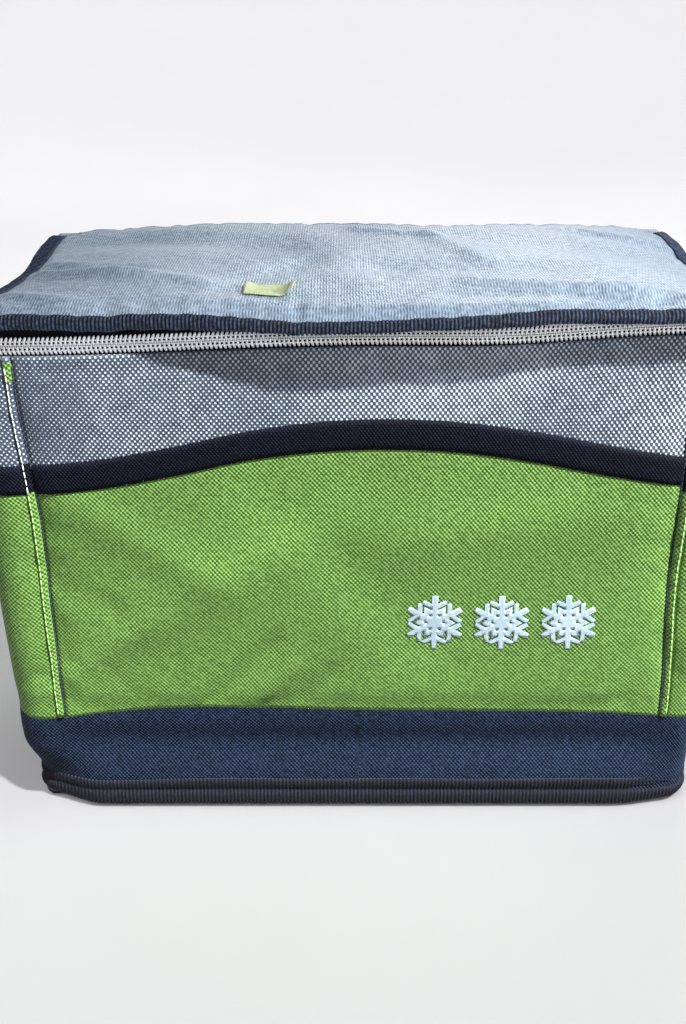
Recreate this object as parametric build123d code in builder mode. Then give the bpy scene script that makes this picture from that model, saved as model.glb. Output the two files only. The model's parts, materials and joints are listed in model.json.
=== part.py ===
from build123d import *
import os

# Insulated cooler bag, millimetres. +Z is up, -Y is the front and +X is to the right when seen
# from the front. The origin is the bottom centre of the whole bag's bounding box.

# --- Driving dimensions -------------------------------------------------------------------------
BODY_WIDTH = 304.0
BODY_DEPTH = 156.0
BAG_HEIGHT = 232.0
CORNER_RADIUS = 13.0
SEAM_X = 130.0                    # the side panels wrap round the corners as far as these seams
GAP = 0.1                         # air between two sewn layers

# Height of each band of the wall
BASE_BAND_TOP = 50.0
BASE_TAPER_TOP = 24.0
BASE_TAPER_INSET = 2.4
RIM_Z = 212.5

# Wall layers, as insets from the outermost face
OVERLAY_INSET = 0.3
OVERLAY_THICKNESS = 0.9
WALL_INSET = OVERLAY_INSET + OVERLAY_THICKNESS + GAP
WALL_THICKNESS = 0.8
WALL_TUCK = 12.0                  # how far the walls reach down inside the base band
BASE_BAND_THICKNESS = 1.0
FOAM_INSET = 4.5
FOAM_THICKNESS = 6.0
LINER_INSET = FOAM_INSET + FOAM_THICKNESS + GAP
LINER_THICKNESS = 0.6
CAVITY_INSET = LINER_INSET + LINER_THICKNESS

# Base, from the floor up
BASE_PANEL_THICKNESS = 1.0
BASE_PANEL_LIP = 0.6
BINDING_FOOT_WIDTH = 9.6
BINDING_THICKNESS = 0.8
BINDING_TOP = 14.0
BOARD_BOTTOM = BASE_PANEL_THICKNESS + BASE_PANEL_LIP + GAP
BOARD_THICKNESS = 1.8
BOARD_INSET = 5.5
BASE_FOAM_BOTTOM = BOARD_BOTTOM + BOARD_THICKNESS + GAP
LINER_FLOOR_BOTTOM = BASE_FOAM_BOTTOM + FOAM_THICKNESS + GAP

# Arched top edge of the front green panel, and the woven band along it
ARCH_LEFT_Z = 156.5
ARCH_LEFT_SHOULDER = (-74.0, 165.0)
ARCH_CREST = (12.0, 176.0)
ARCH_RIGHT_SHOULDER = (72.0, 170.3)
ARCH_RIGHT_Z = 160.0
ARCH_BAND_WIDTH = 11.5

# Corner seam welts
WELT_WIDTH = 3.4
WELT_PROUD = 0.3
WELT_TOP = RIM_Z - 0.5

# Rim binding that closes the foam and liner at the mouth
RIM_BINDING_THICKNESS = 0.5
RIM_BINDING_TOP = RIM_Z + 0.7
RIM_BINDING_DEPTH = 10.0
FOAM_TOP = RIM_BINDING_TOP - RIM_BINDING_THICKNESS - GAP

# Zip chain: two rows of coil with the closed line half way between them
ZIP_CENTRE_Z = 218.5
ZIP_CENTRE_INSET = 2.45
ZIP_COIL_HEIGHT = 3.2
ZIP_COIL_DEPTH = 2.0
ZIP_CHAIN_GAP = 1.4
ZIP_TAPE_THICKNESS = 0.5
ZIP_TAPE_BOTTOM = 203.0
ZIP_REAR_Y = 66.5
ZIP_LID_END_Y = 49.0              # on the right side the lid's half of the zip ends here
ZIP_TAIL_GAP = 0.5
ZIP_FLANGE_THICKNESS = 0.5
ZIP_FLANGE_INSET = 10.0
ZIP_END_LENGTH = 8.0
ZIP_END_THICKNESS = 2.6

# Slider and pull, parked on the zip's right rear tail
SLIDER_CENTRE_Y = 57.5
SLIDER_LENGTH = 12.5
SLIDER_HEIGHT = 9.0
SLIDER_CORNER_RADIUS = 2.2
SLIDER_PLATE = 1.0
SLIDER_MOUTH = 2.6                # between the inner faces of the two plates
SLIDER_POST = 0.8
BAIL_WIRE = 1.2
BAIL_LENGTH = 6.0
BAIL_HEIGHT = 4.2
BAIL_RADIUS = 1.4
PULL_THICKNESS = 1.2
PULL_WIDTH = 7.0
PULL_LENGTH = 27.0
PULL_NOSE_RADIUS = 3.2
PULL_EYE_WIDTH = 3.6
PULL_EYE_LENGTH = 3.4

# Lid
LID_BOTTOM = 224.0
LID_FRONT_TOP = 227.6
LID_FRONT_OVERHANG = 4.0
LID_SIDE_OVERHANG = 1.0
LID_REAR_RADIUS = 9.0
LID_BINDING_WIDTH = 5.0
LID_LINER_THICKNESS = 0.6
LID_PANEL_THICKNESS = 0.8
HINGE_GAP = 1.5                   # between the hinge axis and the lid's rear face
HINGE_STRIP_BOTTOM = 205.0
HINGE_STRIP_TOP = BAG_HEIGHT
HINGE_STRIP_THICKNESS = 1.0
LID_TAB_CENTRE_X = -34.5
LID_TAB_FRONT_SETBACK = 27.0
LID_TAB_LENGTH = 21.0
LID_TAB_WIDTH = 14.0
LID_TAB_THICKNESS = 0.5

# D-rings and the webbing tabs that hold them
TAB_WIDTH = 20.0
TAB_PLY = 2.2
TAB_TOP = 206.0
LOOP_RADIUS = 3.1
LOOP_BORE_RADIUS = 2.2
LOOP_Z = 180.0
RING_WIRE = 2.6
RING_INNER_WIDTH = 21.0
RING_DROP = 19.0
RING_LEG = 6.3                    # straight part of the D's sides
RING_EDGE_RADIUS = 0.9

# Snowflake prints on the front panel
SNOWFLAKE_RADIUS = 13.0
SNOWFLAKE_THICKNESS = 0.2
SNOWFLAKE_ARM_COUNT = 6
SNOWFLAKE_ARM_WIDTH = 2.2
SNOWFLAKE_HEART = 6.4             # radius of the solid six-sided middle
SNOWFLAKE_Z = 97.8
SNOWFLAKE_FIRST_X = 31.0
SNOWFLAKE_PITCH = 28.0
SNOWFLAKE_COUNT = 3
BRANCH_LENGTH = 4.8
BRANCH_ANGLE = 60.0
BRANCH_WIDTH = 1.65
BRANCH_FORKS = (6.0, 8.6)         # how far out along an arm its side branches leave it

# --- Derived places ----------------------------------------------------------------------------
PLAN_CENTRE_Y = (LID_FRONT_OVERHANG - WELT_PROUD) / 2
FRONT_Y = PLAN_CENTRE_Y - BODY_DEPTH / 2
BACK_Y = PLAN_CENTRE_Y + BODY_DEPTH / 2
HINGE_Y = BACK_Y - OVERLAY_INSET
LID_BACK_Y = HINGE_Y - HINGE_GAP
LID_FRONT_Y = FRONT_Y - LID_FRONT_OVERHANG
LID_WIDTH = BODY_WIDTH + 2 * LID_SIDE_OVERHANG
LID_FRONT_RADIUS = CORNER_RADIUS + LID_SIDE_OVERHANG
LID_SLOPE = (BAG_HEIGHT - LID_FRONT_TOP) / (LID_BACK_Y - LID_FRONT_Y)
LID_TOP_PLANE = Plane(
    origin=(0, LID_BACK_Y, BAG_HEIGHT), x_dir=(1, 0, 0), z_dir=(0, -LID_SLOPE, 1)
)
COIL_LOWER_BOTTOM = ZIP_CENTRE_Z - ZIP_CHAIN_GAP / 2 - ZIP_COIL_HEIGHT
COIL_UPPER_BOTTOM = ZIP_CENTRE_Z + ZIP_CHAIN_GAP / 2
COIL_INSET = ZIP_CENTRE_INSET - ZIP_COIL_DEPTH / 2
TAPE_INSET = ZIP_CENTRE_INSET - ZIP_TAPE_THICKNESS / 2
FLANGE_BOTTOM = LID_BOTTOM - GAP - ZIP_FLANGE_THICKNESS
LARGE = 2 * BODY_WIDTH            # longer than anything that it has to cut through

os.makedirs("parts", exist_ok=True)


# --- Shared sketches and operations --------------------------------------------------------------
def plan(inset, height):
    """Level outline of the body at a height, moved in by inset from the outermost face."""
    with BuildSketch(Plane.XY.offset(height)) as outline:
        with Locations((0, PLAN_CENTRE_Y)):
            Rectangle(BODY_WIDTH - 2 * inset, BODY_DEPTH - 2 * inset)
        fillet(outline.vertices(), CORNER_RADIUS - inset)
    return outline.sketch


def ring(inset, thickness, bottom, top):
    """A wall of even thickness that goes all the way round the body."""
    extrude(plan(inset, bottom), amount=top - bottom)
    extrude(plan(inset + thickness, bottom), amount=top - bottom, mode=Mode.SUBTRACT)


def keep_front_of(y):
    split(bisect_by=Plane.XZ.offset(-y), keep=Keep.TOP)


def keep_box(x_range, y_range, z_range):
    """Cut the part down to what lies inside a box."""
    size = [high - low for low, high in (x_range, y_range, z_range)]
    centre = [(high + low) / 2 for low, high in (x_range, y_range, z_range)]
    with Locations(tuple(centre)):
        Box(*size, mode=Mode.INTERSECT)


def keep_sector(side, z_range, seam_gap=0.0):
    """Cut a ring down to its front, back, left or right panel."""
    sideways = (SEAM_X + seam_gap, LARGE)
    if side == "front":
        keep_box((-SEAM_X, SEAM_X), (-LARGE, 0), z_range)
    elif side == "back":
        keep_box((-SEAM_X, SEAM_X), (0, LARGE), z_range)
    elif side == "right":
        keep_box(sideways, (-LARGE, LARGE), z_range)
    else:
        keep_box((-sideways[1], -sideways[0]), (-LARGE, LARGE), z_range)


def arch_edge(rise):
    """The green panel's arched top edge, lifted by rise, from the left seam to the right."""
    return Spline(
        (-SEAM_X, ARCH_LEFT_Z + rise),
        (ARCH_LEFT_SHOULDER[0], ARCH_LEFT_SHOULDER[1] + rise),
        (ARCH_CREST[0], ARCH_CREST[1] + rise),
        (ARCH_RIGHT_SHOULDER[0], ARCH_RIGHT_SHOULDER[1] + rise),
        (SEAM_X, ARCH_RIGHT_Z + rise),
    )


def below_arch(rise, mode):
    """Keep or cut away what lies under the arch, by the mode."""
    with BuildSketch(Plane.XZ) as region:
        with BuildLine():
            edge = arch_edge(rise)
            Polyline(edge @ 0, (-SEAM_X, 0), (SEAM_X, 0), edge @ 1)
        make_face()
    extrude(region.sketch, amount=LARGE, mode=mode)


def save(part, name):
    part.label = name
    export_step(part, f"parts/{name}.step")


# --- Base ------------------------------------------------------------------------------------------
def taper_inset(height):
    """How far the base leans in at a height below the taper's top."""
    return BASE_TAPER_INSET * (BASE_TAPER_TOP - height) / (BASE_TAPER_TOP - BASE_PANEL_THICKNESS)


def tapered_shell(outward, thickness, bottom, top):
    """A shell along the base's taper, its outer face outward of the base fabric."""
    for inset, mode in ((-outward, Mode.ADD), (thickness - outward, Mode.SUBTRACT)):
        sections = [plan(taper_inset(height) + inset, height) for height in (bottom, top)]
        loft(sections, mode=mode)


with BuildPart() as base_band:
    tapered_shell(0, BASE_BAND_THICKNESS, BASE_PANEL_THICKNESS, BASE_TAPER_TOP)
    ring(0, BASE_BAND_THICKNESS, BASE_TAPER_TOP, BASE_BAND_TOP)
save(base_band.part, "base_band")

FOOT_INSET = BASE_TAPER_INSET - BINDING_THICKNESS
with BuildPart() as bottom_binding:
    tapered_shell(BINDING_THICKNESS, BINDING_THICKNESS, BASE_PANEL_THICKNESS, BINDING_TOP)
    ring(FOOT_INSET, BINDING_FOOT_WIDTH, 0, BASE_PANEL_THICKNESS)
save(bottom_binding.part, "bottom_binding")

with BuildPart() as base_panel:
    extrude(plan(FOOT_INSET + BINDING_FOOT_WIDTH + GAP, 0), amount=BASE_PANEL_THICKNESS)
    extrude(plan(FOAM_INSET, BASE_PANEL_THICKNESS), amount=BASE_PANEL_LIP)
save(base_panel.part, "base_panel")

with BuildPart() as base_stiffener_board:
    extrude(plan(BOARD_INSET, BOARD_BOTTOM), amount=BOARD_THICKNESS)
save(base_stiffener_board.part, "base_stiffener_board")

with BuildPart() as base_foam:
    extrude(plan(LINER_INSET, BASE_FOAM_BOTTOM), amount=FOAM_THICKNESS)
save(base_foam.part, "base_foam")


# --- Walls: outer fabric and foam, one panel to each side -----------------------------------------
WALL_BOTTOM = BASE_BAND_TOP - WALL_TUCK
SIDES = ("front", "back", "left", "right")

for side in SIDES:
    with BuildPart() as wall:
        ring(WALL_INSET, WALL_THICKNESS, WALL_BOTTOM, RIM_Z)
        keep_sector(side, (WALL_BOTTOM, RIM_Z), GAP)
    save(wall.part, f"{side}_wall")

for side in SIDES:
    with BuildPart() as foam:
        ring(FOAM_INSET, FOAM_THICKNESS, BASE_FOAM_BOTTOM, FOAM_TOP)
        keep_sector(side, (BASE_FOAM_BOTTOM, FOAM_TOP), GAP)
    save(foam.part, f"{side}_foam")

with BuildPart() as inner_liner:
    extrude(plan(LINER_INSET, LINER_FLOOR_BOTTOM), amount=FOAM_TOP - LINER_FLOOR_BOTTOM)
    extrude(plan(CAVITY_INSET, LINER_FLOOR_BOTTOM + LINER_THICKNESS), amount=FOAM_TOP, mode=Mode.SUBTRACT)
save(inner_liner.part, "inner_liner")

RIM_BINDING_INSET = FOAM_INSET - RIM_BINDING_THICKNESS - GAP
RIM_BINDING_INNER = CAVITY_INSET + RIM_BINDING_THICKNESS + GAP
with BuildPart() as rim_binding:
    for leg_inset in (RIM_BINDING_INSET, RIM_BINDING_INNER - RIM_BINDING_THICKNESS):
        ring(leg_inset, RIM_BINDING_THICKNESS, RIM_BINDING_TOP - RIM_BINDING_DEPTH, RIM_BINDING_TOP)
    ring(RIM_BINDING_INSET, RIM_BINDING_INNER - RIM_BINDING_INSET,
         RIM_BINDING_TOP - RIM_BINDING_THICKNESS, RIM_BINDING_TOP)
save(rim_binding.part, "rim_binding")


# --- Overlays: green panels, woven bands and mesh panels on the front and sides -------------------
with BuildPart() as front_green_panel:
    ring(OVERLAY_INSET, OVERLAY_THICKNESS, BASE_BAND_TOP, RIM_Z)
    keep_sector("front", (BASE_BAND_TOP, RIM_Z))
    below_arch(0, Mode.INTERSECT)
save(front_green_panel.part, "front_green_panel")

with BuildPart() as front_woven_band:
    ring(OVERLAY_INSET - GAP, OVERLAY_THICKNESS + GAP, BASE_BAND_TOP, RIM_Z)
    keep_sector("front", (BASE_BAND_TOP, RIM_Z))
    below_arch(ARCH_BAND_WIDTH, Mode.INTERSECT)
    below_arch(0, Mode.SUBTRACT)
save(front_woven_band.part, "front_woven_band")

with BuildPart() as front_mesh_panel:
    ring(OVERLAY_INSET, OVERLAY_THICKNESS, BASE_BAND_TOP, RIM_Z)
    keep_sector("front", (BASE_BAND_TOP, RIM_Z))
    below_arch(ARCH_BAND_WIDTH, Mode.SUBTRACT)
save(front_mesh_panel.part, "front_mesh_panel")

for side, band_bottom in (("left", ARCH_LEFT_Z), ("right", ARCH_RIGHT_Z)):
    band_top = band_bottom + ARCH_BAND_WIDTH
    layers = (
        ("green_panel", OVERLAY_INSET, BASE_BAND_TOP, band_bottom),
        ("woven_band", OVERLAY_INSET - GAP, band_bottom, band_top),
        ("mesh_panel", OVERLAY_INSET, band_top, RIM_Z),
    )
    for layer, inset, bottom, top in layers:
        with BuildPart() as overlay:
            ring(inset, OVERLAY_INSET + OVERLAY_THICKNESS - inset, bottom, top)
            keep_sector(side, (bottom, top), WELT_WIDTH)
        save(overlay.part, f"{side}_{layer}")

# A sewn fold stands proud along each of the four corner seams
for end, y_range in (("front", (-LARGE, 0)), ("back", (0, LARGE))):
    for side, sign in (("left", -1), ("right", 1)):
        edges_x = sorted((sign * (SEAM_X + GAP), sign * (SEAM_X + WELT_WIDTH - GAP)))
        with BuildPart() as welt:
            ring(-WELT_PROUD, WELT_PROUD + OVERLAY_INSET + OVERLAY_THICKNESS, BASE_BAND_TOP, WELT_TOP)
            keep_box(edges_x, y_range, (BASE_BAND_TOP, WELT_TOP))
        save(welt.part, f"{end}_{side}_seam_welt")


# --- Snowflake prints on the front green panel -----------------------------------------------------
PRINT_PLANE = Plane.XZ.offset(-(FRONT_Y + OVERLAY_INSET))
with BuildPart() as snowflake_prints:
    for index in range(SNOWFLAKE_COUNT):
        centre_x = SNOWFLAKE_FIRST_X + index * SNOWFLAKE_PITCH
        with BuildSketch(PRINT_PLANE) as flake:
            with Locations((centre_x, SNOWFLAKE_Z)):
                RegularPolygon(SNOWFLAKE_HEART, SNOWFLAKE_ARM_COUNT)
                for arm in range(SNOWFLAKE_ARM_COUNT):
                    direction = 90.0 + arm * 360.0 / SNOWFLAKE_ARM_COUNT
                    with Locations(Rotation(0, 0, direction)):
                        with Locations((SNOWFLAKE_RADIUS / 2, 0)):
                            Rectangle(SNOWFLAKE_RADIUS, SNOWFLAKE_ARM_WIDTH)
                        for fork in BRANCH_FORKS:
                            for turn in (-BRANCH_ANGLE, BRANCH_ANGLE):
                                with Locations(Location((fork, 0, 0), (0, 0, turn))):
                                    with Locations((BRANCH_LENGTH / 2, 0)):
                                        Rectangle(BRANCH_LENGTH, BRANCH_WIDTH)
        extrude(amount=SNOWFLAKE_THICKNESS)
save(snowflake_prints.part, "snowflake_prints")


# --- Zip --------------------------------------------------------------------------------------------
with BuildPart() as zip_lower_tape:
    ring(TAPE_INSET, ZIP_TAPE_THICKNESS, ZIP_TAPE_BOTTOM, COIL_LOWER_BOTTOM)
    keep_front_of(ZIP_REAR_Y)
save(zip_lower_tape.part, "zip_lower_tape")

with BuildPart() as zip_lower_coil:
    ring(COIL_INSET, ZIP_COIL_DEPTH, COIL_LOWER_BOTTOM, COIL_LOWER_BOTTOM + ZIP_COIL_HEIGHT)
    keep_front_of(ZIP_REAR_Y)
save(zip_lower_coil.part, "zip_lower_coil")


def keep_lid_half():
    """Drop the stretch behind the left side's end and behind the right side's lid end."""
    keep_front_of(ZIP_REAR_Y)
    with Locations((LARGE / 2, ZIP_LID_END_Y + LARGE / 2, ZIP_CENTRE_Z)):
        Box(LARGE, LARGE, LARGE, mode=Mode.SUBTRACT)


with BuildPart() as zip_upper_coil:
    ring(COIL_INSET, ZIP_COIL_DEPTH, COIL_UPPER_BOTTOM, COIL_UPPER_BOTTOM + ZIP_COIL_HEIGHT)
    keep_lid_half()
save(zip_upper_coil.part, "zip_upper_coil")

with BuildPart() as zip_upper_tape:
    ring(TAPE_INSET, ZIP_TAPE_THICKNESS, COIL_UPPER_BOTTOM + ZIP_COIL_HEIGHT, LID_BOTTOM - GAP)
    ring(TAPE_INSET, ZIP_FLANGE_INSET - TAPE_INSET, FLANGE_BOTTOM, LID_BOTTOM - GAP)
    keep_lid_half()
save(zip_upper_tape.part, "zip_upper_tape")

TAIL_RANGE_Y = (ZIP_LID_END_Y + ZIP_TAIL_GAP, ZIP_REAR_Y)
with BuildPart() as zip_tail_coil:
    ring(COIL_INSET, ZIP_COIL_DEPTH, COIL_UPPER_BOTTOM, COIL_UPPER_BOTTOM + ZIP_COIL_HEIGHT)
    keep_box((SEAM_X, LARGE), TAIL_RANGE_Y, (0, BAG_HEIGHT))
save(zip_tail_coil.part, "zip_tail_coil")

END_INSET = ZIP_CENTRE_INSET - ZIP_END_THICKNESS / 2
END_RANGE_Y = (ZIP_REAR_Y, ZIP_REAR_Y + ZIP_END_LENGTH)
for side in ("left", "right"):
    with BuildPart() as zip_end:
        ring(END_INSET, ZIP_END_THICKNESS, COIL_LOWER_BOTTOM - GAP, FLANGE_BOTTOM - GAP)
        keep_sector(side, (0, BAG_HEIGHT))
        keep_box((-LARGE, LARGE), END_RANGE_Y, (0, BAG_HEIGHT))
    save(zip_end.part, f"{side}_zip_end_tab")

CHAIN_X = BODY_WIDTH / 2 - ZIP_CENTRE_INSET
PLATE_OFFSET = (SLIDER_MOUTH + SLIDER_PLATE) / 2
BAIL_X = CHAIN_X + SLIDER_MOUTH / 2 + SLIDER_PLATE
with BuildPart() as zip_slider:
    with Locations((CHAIN_X - PLATE_OFFSET, SLIDER_CENTRE_Y, ZIP_CENTRE_Z),
                   (CHAIN_X + PLATE_OFFSET, SLIDER_CENTRE_Y, ZIP_CENTRE_Z)):
        Box(SLIDER_PLATE, SLIDER_LENGTH, SLIDER_HEIGHT)
    fillet(zip_slider.edges().filter_by(Axis.X), SLIDER_CORNER_RADIUS)
    with Locations((CHAIN_X, SLIDER_CENTRE_Y, ZIP_CENTRE_Z)):
        Box(SLIDER_MOUTH, SLIDER_LENGTH / 2, SLIDER_POST)
    # The bail is a low bridge over the outer plate that the pull's eye goes round
    with BuildSketch(Plane.XY.offset(ZIP_CENTRE_Z - BAIL_WIRE / 2)) as bail:
        with Locations((BAIL_X + BAIL_HEIGHT / 2, SLIDER_CENTRE_Y)):
            Rectangle(BAIL_HEIGHT, BAIL_LENGTH)
        fillet(bail.vertices().group_by(Axis.X)[-1], BAIL_RADIUS)
        with Locations((BAIL_X + (BAIL_HEIGHT - BAIL_WIRE) / 2, SLIDER_CENTRE_Y)):
            Rectangle(BAIL_HEIGHT - BAIL_WIRE, BAIL_LENGTH - 2 * BAIL_WIRE, mode=Mode.SUBTRACT)
    extrude(amount=BAIL_WIRE)
save(zip_slider.part, "zip_slider")

# The pull's cross bar passes through the bail, and the tab lies along the chain towards the front
PULL_PIVOT_X = BAIL_X + (BAIL_HEIGHT - BAIL_WIRE) / 2
PULL_TAB_CENTRE_Y = SLIDER_CENTRE_Y + PULL_THICKNESS / 2 - PULL_LENGTH / 2
with BuildPart() as zip_pull:
    with BuildSketch(Plane.YZ.offset(PULL_PIVOT_X - PULL_THICKNESS / 2)) as pull_outline:
        with Locations((PULL_TAB_CENTRE_Y, ZIP_CENTRE_Z)):
            Rectangle(PULL_LENGTH, PULL_WIDTH)
        fillet(pull_outline.vertices().group_by(Axis.X)[0], PULL_NOSE_RADIUS)
        fillet(pull_outline.vertices().group_by(Axis.X)[-1], PULL_THICKNESS)
        with Locations((SLIDER_CENTRE_Y - PULL_THICKNESS / 2 - PULL_EYE_LENGTH / 2, ZIP_CENTRE_Z)):
            Rectangle(PULL_EYE_LENGTH, PULL_EYE_WIDTH, mode=Mode.SUBTRACT)
    extrude(amount=PULL_THICKNESS)
save(zip_pull.part, "zip_pull")


# --- Lid ----------------------------------------------------------------------------------------------
def lid_plan(inset, height):
    """Level outline of the lid, moved in by inset from its front and side edges but not its rear."""
    width = LID_WIDTH - 2 * inset
    front = LID_FRONT_Y + inset
    with BuildSketch(Plane.XY.offset(height)) as outline:
        with Locations((0, (front + LID_BACK_Y) / 2)):
            Rectangle(width, LID_BACK_Y - front)
        fillet(outline.vertices().group_by(Axis.Y)[0], LID_FRONT_RADIUS - inset)
        fillet(outline.vertices().group_by(Axis.Y)[-1], LID_REAR_RADIUS - inset)
    return outline.sketch


def lid_layer(inset, bottom_plane, top_plane):
    """A full sheet of the lid between two planes."""
    extrude(lid_plan(inset, LID_BOTTOM), amount=BAG_HEIGHT - LID_BOTTOM + GAP)
    split(bisect_by=top_plane, keep=Keep.BOTTOM)
    split(bisect_by=bottom_plane, keep=Keep.TOP)


PANEL_INSET = LID_BINDING_WIDTH + GAP
PANEL_BOTTOM_PLANE = LID_TOP_PLANE.offset(-LID_PANEL_THICKNESS)
FOAM_TOP_PLANE = PANEL_BOTTOM_PLANE.offset(-GAP)
LINER_TOP_PLANE = Plane.XY.offset(LID_BOTTOM + LID_LINER_THICKNESS)

with BuildPart() as lid_outer_panel:
    lid_layer(PANEL_INSET, PANEL_BOTTOM_PLANE, LID_TOP_PLANE)
save(lid_outer_panel.part, "lid_outer_panel")

with BuildPart() as lid_foam:
    lid_layer(PANEL_INSET, LINER_TOP_PLANE.offset(GAP), FOAM_TOP_PLANE)
save(lid_foam.part, "lid_foam")

with BuildPart() as lid_liner:
    lid_layer(PANEL_INSET, Plane.XY.offset(LID_BOTTOM), LINER_TOP_PLANE)
save(lid_liner.part, "lid_liner")

with BuildPart() as lid_binding:
    lid_layer(0, Plane.XY.offset(LID_BOTTOM), LID_TOP_PLANE)
    with BuildSketch(Plane.XY.offset(LID_BOTTOM)) as panel_room:
        with Locations((0, (LID_FRONT_Y + LID_BINDING_WIDTH + LARGE) / 2)):
            Rectangle(LID_WIDTH - 2 * LID_BINDING_WIDTH, LARGE - LID_FRONT_Y - LID_BINDING_WIDTH)
        fillet(panel_room.vertices().group_by(Axis.Y)[0], LID_FRONT_RADIUS - LID_BINDING_WIDTH)
    extrude(amount=BAG_HEIGHT, mode=Mode.SUBTRACT)
save(lid_binding.part, "lid_binding")

with BuildPart() as lid_green_tab:
    with BuildSketch(LID_TOP_PLANE):
        with Locations((LID_TAB_CENTRE_X, LID_FRONT_Y + LID_TAB_FRONT_SETBACK - LID_BACK_Y)):
            Rectangle(LID_TAB_LENGTH, LID_TAB_WIDTH)
    extrude(amount=LID_TAB_THICKNESS)
save(lid_green_tab.part, "lid_green_tab")

with BuildPart() as lid_hinge_strip:
    ring(OVERLAY_INSET, HINGE_STRIP_THICKNESS - GAP, HINGE_STRIP_BOTTOM, HINGE_STRIP_TOP)
    keep_box((-SEAM_X + GAP, SEAM_X - GAP), (0, LARGE), (HINGE_STRIP_BOTTOM, HINGE_STRIP_TOP))
save(lid_hinge_strip.part, "lid_hinge_strip")


# --- D-rings and their webbing tabs ------------------------------------------------------------------
TAB_FACE_X = BODY_WIDTH / 2 + GAP
LOOP_X = TAB_FACE_X + LOOP_RADIUS
for side, sign in (("left", -1), ("right", 1)):
    with BuildPart() as ring_tab:
        with BuildSketch(Plane.XZ.offset(-PLAN_CENTRE_Y)) as tab_section:
            with Locations((sign * LOOP_X, LOOP_Z)):
                Circle(LOOP_RADIUS)
            with Locations((sign * (TAB_FACE_X + TAB_PLY / 2), (TAB_TOP + LOOP_Z) / 2)):
                Rectangle(TAB_PLY, TAB_TOP - LOOP_Z)
            with Locations((sign * LOOP_X, LOOP_Z)):
                Circle(LOOP_BORE_RADIUS, mode=Mode.SUBTRACT)
        extrude(amount=TAB_WIDTH / 2, both=True)
    save(ring_tab.part, f"{side}_ring_tab")

    with BuildPart() as d_ring:
        half = RING_INNER_WIDTH / 2
        with BuildSketch(Plane.YZ.offset(sign * LOOP_X - RING_WIRE / 2)) as d_outline:
            with BuildLine():
                bow = ThreePointArc(
                    (PLAN_CENTRE_Y - half, LOOP_Z - RING_WIRE / 2 - RING_LEG),
                    (PLAN_CENTRE_Y, LOOP_Z - RING_WIRE / 2 - RING_DROP),
                    (PLAN_CENTRE_Y + half, LOOP_Z - RING_WIRE / 2 - RING_LEG),
                )
                Polyline(
                    bow @ 0,
                    (PLAN_CENTRE_Y - half, LOOP_Z - RING_WIRE / 2),
                    (PLAN_CENTRE_Y + half, LOOP_Z - RING_WIRE / 2),
                    bow @ 1,
                )
            make_face()
            offset(amount=RING_WIRE, kind=Kind.ARC)
            with BuildLine():
                inner_bow = ThreePointArc(bow @ 0, bow @ 0.5, bow @ 1)
                Polyline(
                    inner_bow @ 0,
                    (PLAN_CENTRE_Y - half, LOOP_Z - RING_WIRE / 2),
                    (PLAN_CENTRE_Y + half, LOOP_Z - RING_WIRE / 2),
                    inner_bow @ 1,
                )
            make_face(mode=Mode.SUBTRACT)
        extrude(amount=RING_WIRE)
        fillet(d_ring.edges().filter_by(Axis.X, reverse=True), RING_EDGE_RADIUS)
    save(d_ring.part, f"{side}_d_ring")
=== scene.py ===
"""The insulated cooler bag's looks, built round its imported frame. Metres, +Z up, -Y the front."""
import json
import math

import bpy
import numpy as np
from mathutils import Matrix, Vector
from mathutils.geometry import delaunay_2d_cdt


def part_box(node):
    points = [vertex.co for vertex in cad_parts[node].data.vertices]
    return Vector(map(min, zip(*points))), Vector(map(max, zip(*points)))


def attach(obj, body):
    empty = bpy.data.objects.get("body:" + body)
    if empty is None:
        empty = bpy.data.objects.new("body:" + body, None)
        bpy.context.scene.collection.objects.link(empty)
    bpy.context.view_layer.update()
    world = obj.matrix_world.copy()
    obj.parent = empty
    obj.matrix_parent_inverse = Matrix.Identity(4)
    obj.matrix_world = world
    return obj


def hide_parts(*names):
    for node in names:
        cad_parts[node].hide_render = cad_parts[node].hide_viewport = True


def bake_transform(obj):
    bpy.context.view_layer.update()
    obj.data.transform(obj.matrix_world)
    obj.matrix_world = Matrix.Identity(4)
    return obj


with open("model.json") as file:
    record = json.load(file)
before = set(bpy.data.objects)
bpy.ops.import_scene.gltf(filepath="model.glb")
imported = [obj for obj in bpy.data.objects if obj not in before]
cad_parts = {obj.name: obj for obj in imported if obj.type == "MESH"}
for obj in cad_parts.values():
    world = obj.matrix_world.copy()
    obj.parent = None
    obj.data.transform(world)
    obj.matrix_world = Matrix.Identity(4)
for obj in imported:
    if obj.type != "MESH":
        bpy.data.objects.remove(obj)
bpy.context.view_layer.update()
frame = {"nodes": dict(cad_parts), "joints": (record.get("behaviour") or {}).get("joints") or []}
scene = bpy.context.scene
MM = 0.001

# --- Places read from the frame -----------------------------------------------------------------
band_low, band_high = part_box("base_band")
FRONT, BACK, HALF_WIDTH = band_low.y, band_high.y, band_high.x
CENTRE_Y = (FRONT + BACK) / 2
BASE_TOP = band_high.z
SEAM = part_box("front_green_panel")[1].x
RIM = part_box("front_mesh_panel")[1].z
CHAIN_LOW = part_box("zip_lower_coil")[0].z
CHAIN_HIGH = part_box("zip_upper_coil")[1].z
CHAIN_Z = (CHAIN_LOW + CHAIN_HIGH) / 2
CHAIN_INSET = HALF_WIDTH - (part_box("zip_lower_coil")[1].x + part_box("zip_tail_coil")[0].x) / 2
ZIP_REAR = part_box("zip_lower_coil")[1].y
ZIP_LID_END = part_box("zip_tail_coil")[0].y
LID_LOW, LID_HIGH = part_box("lid_binding")
LID_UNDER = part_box("lid_liner")[0].z
LID_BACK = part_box("lid_outer_panel")[1].y
HINGE = Vector(next(j for j in frame["joints"] if j["name"] == "lid_hinge")["pos_m"])
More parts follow.
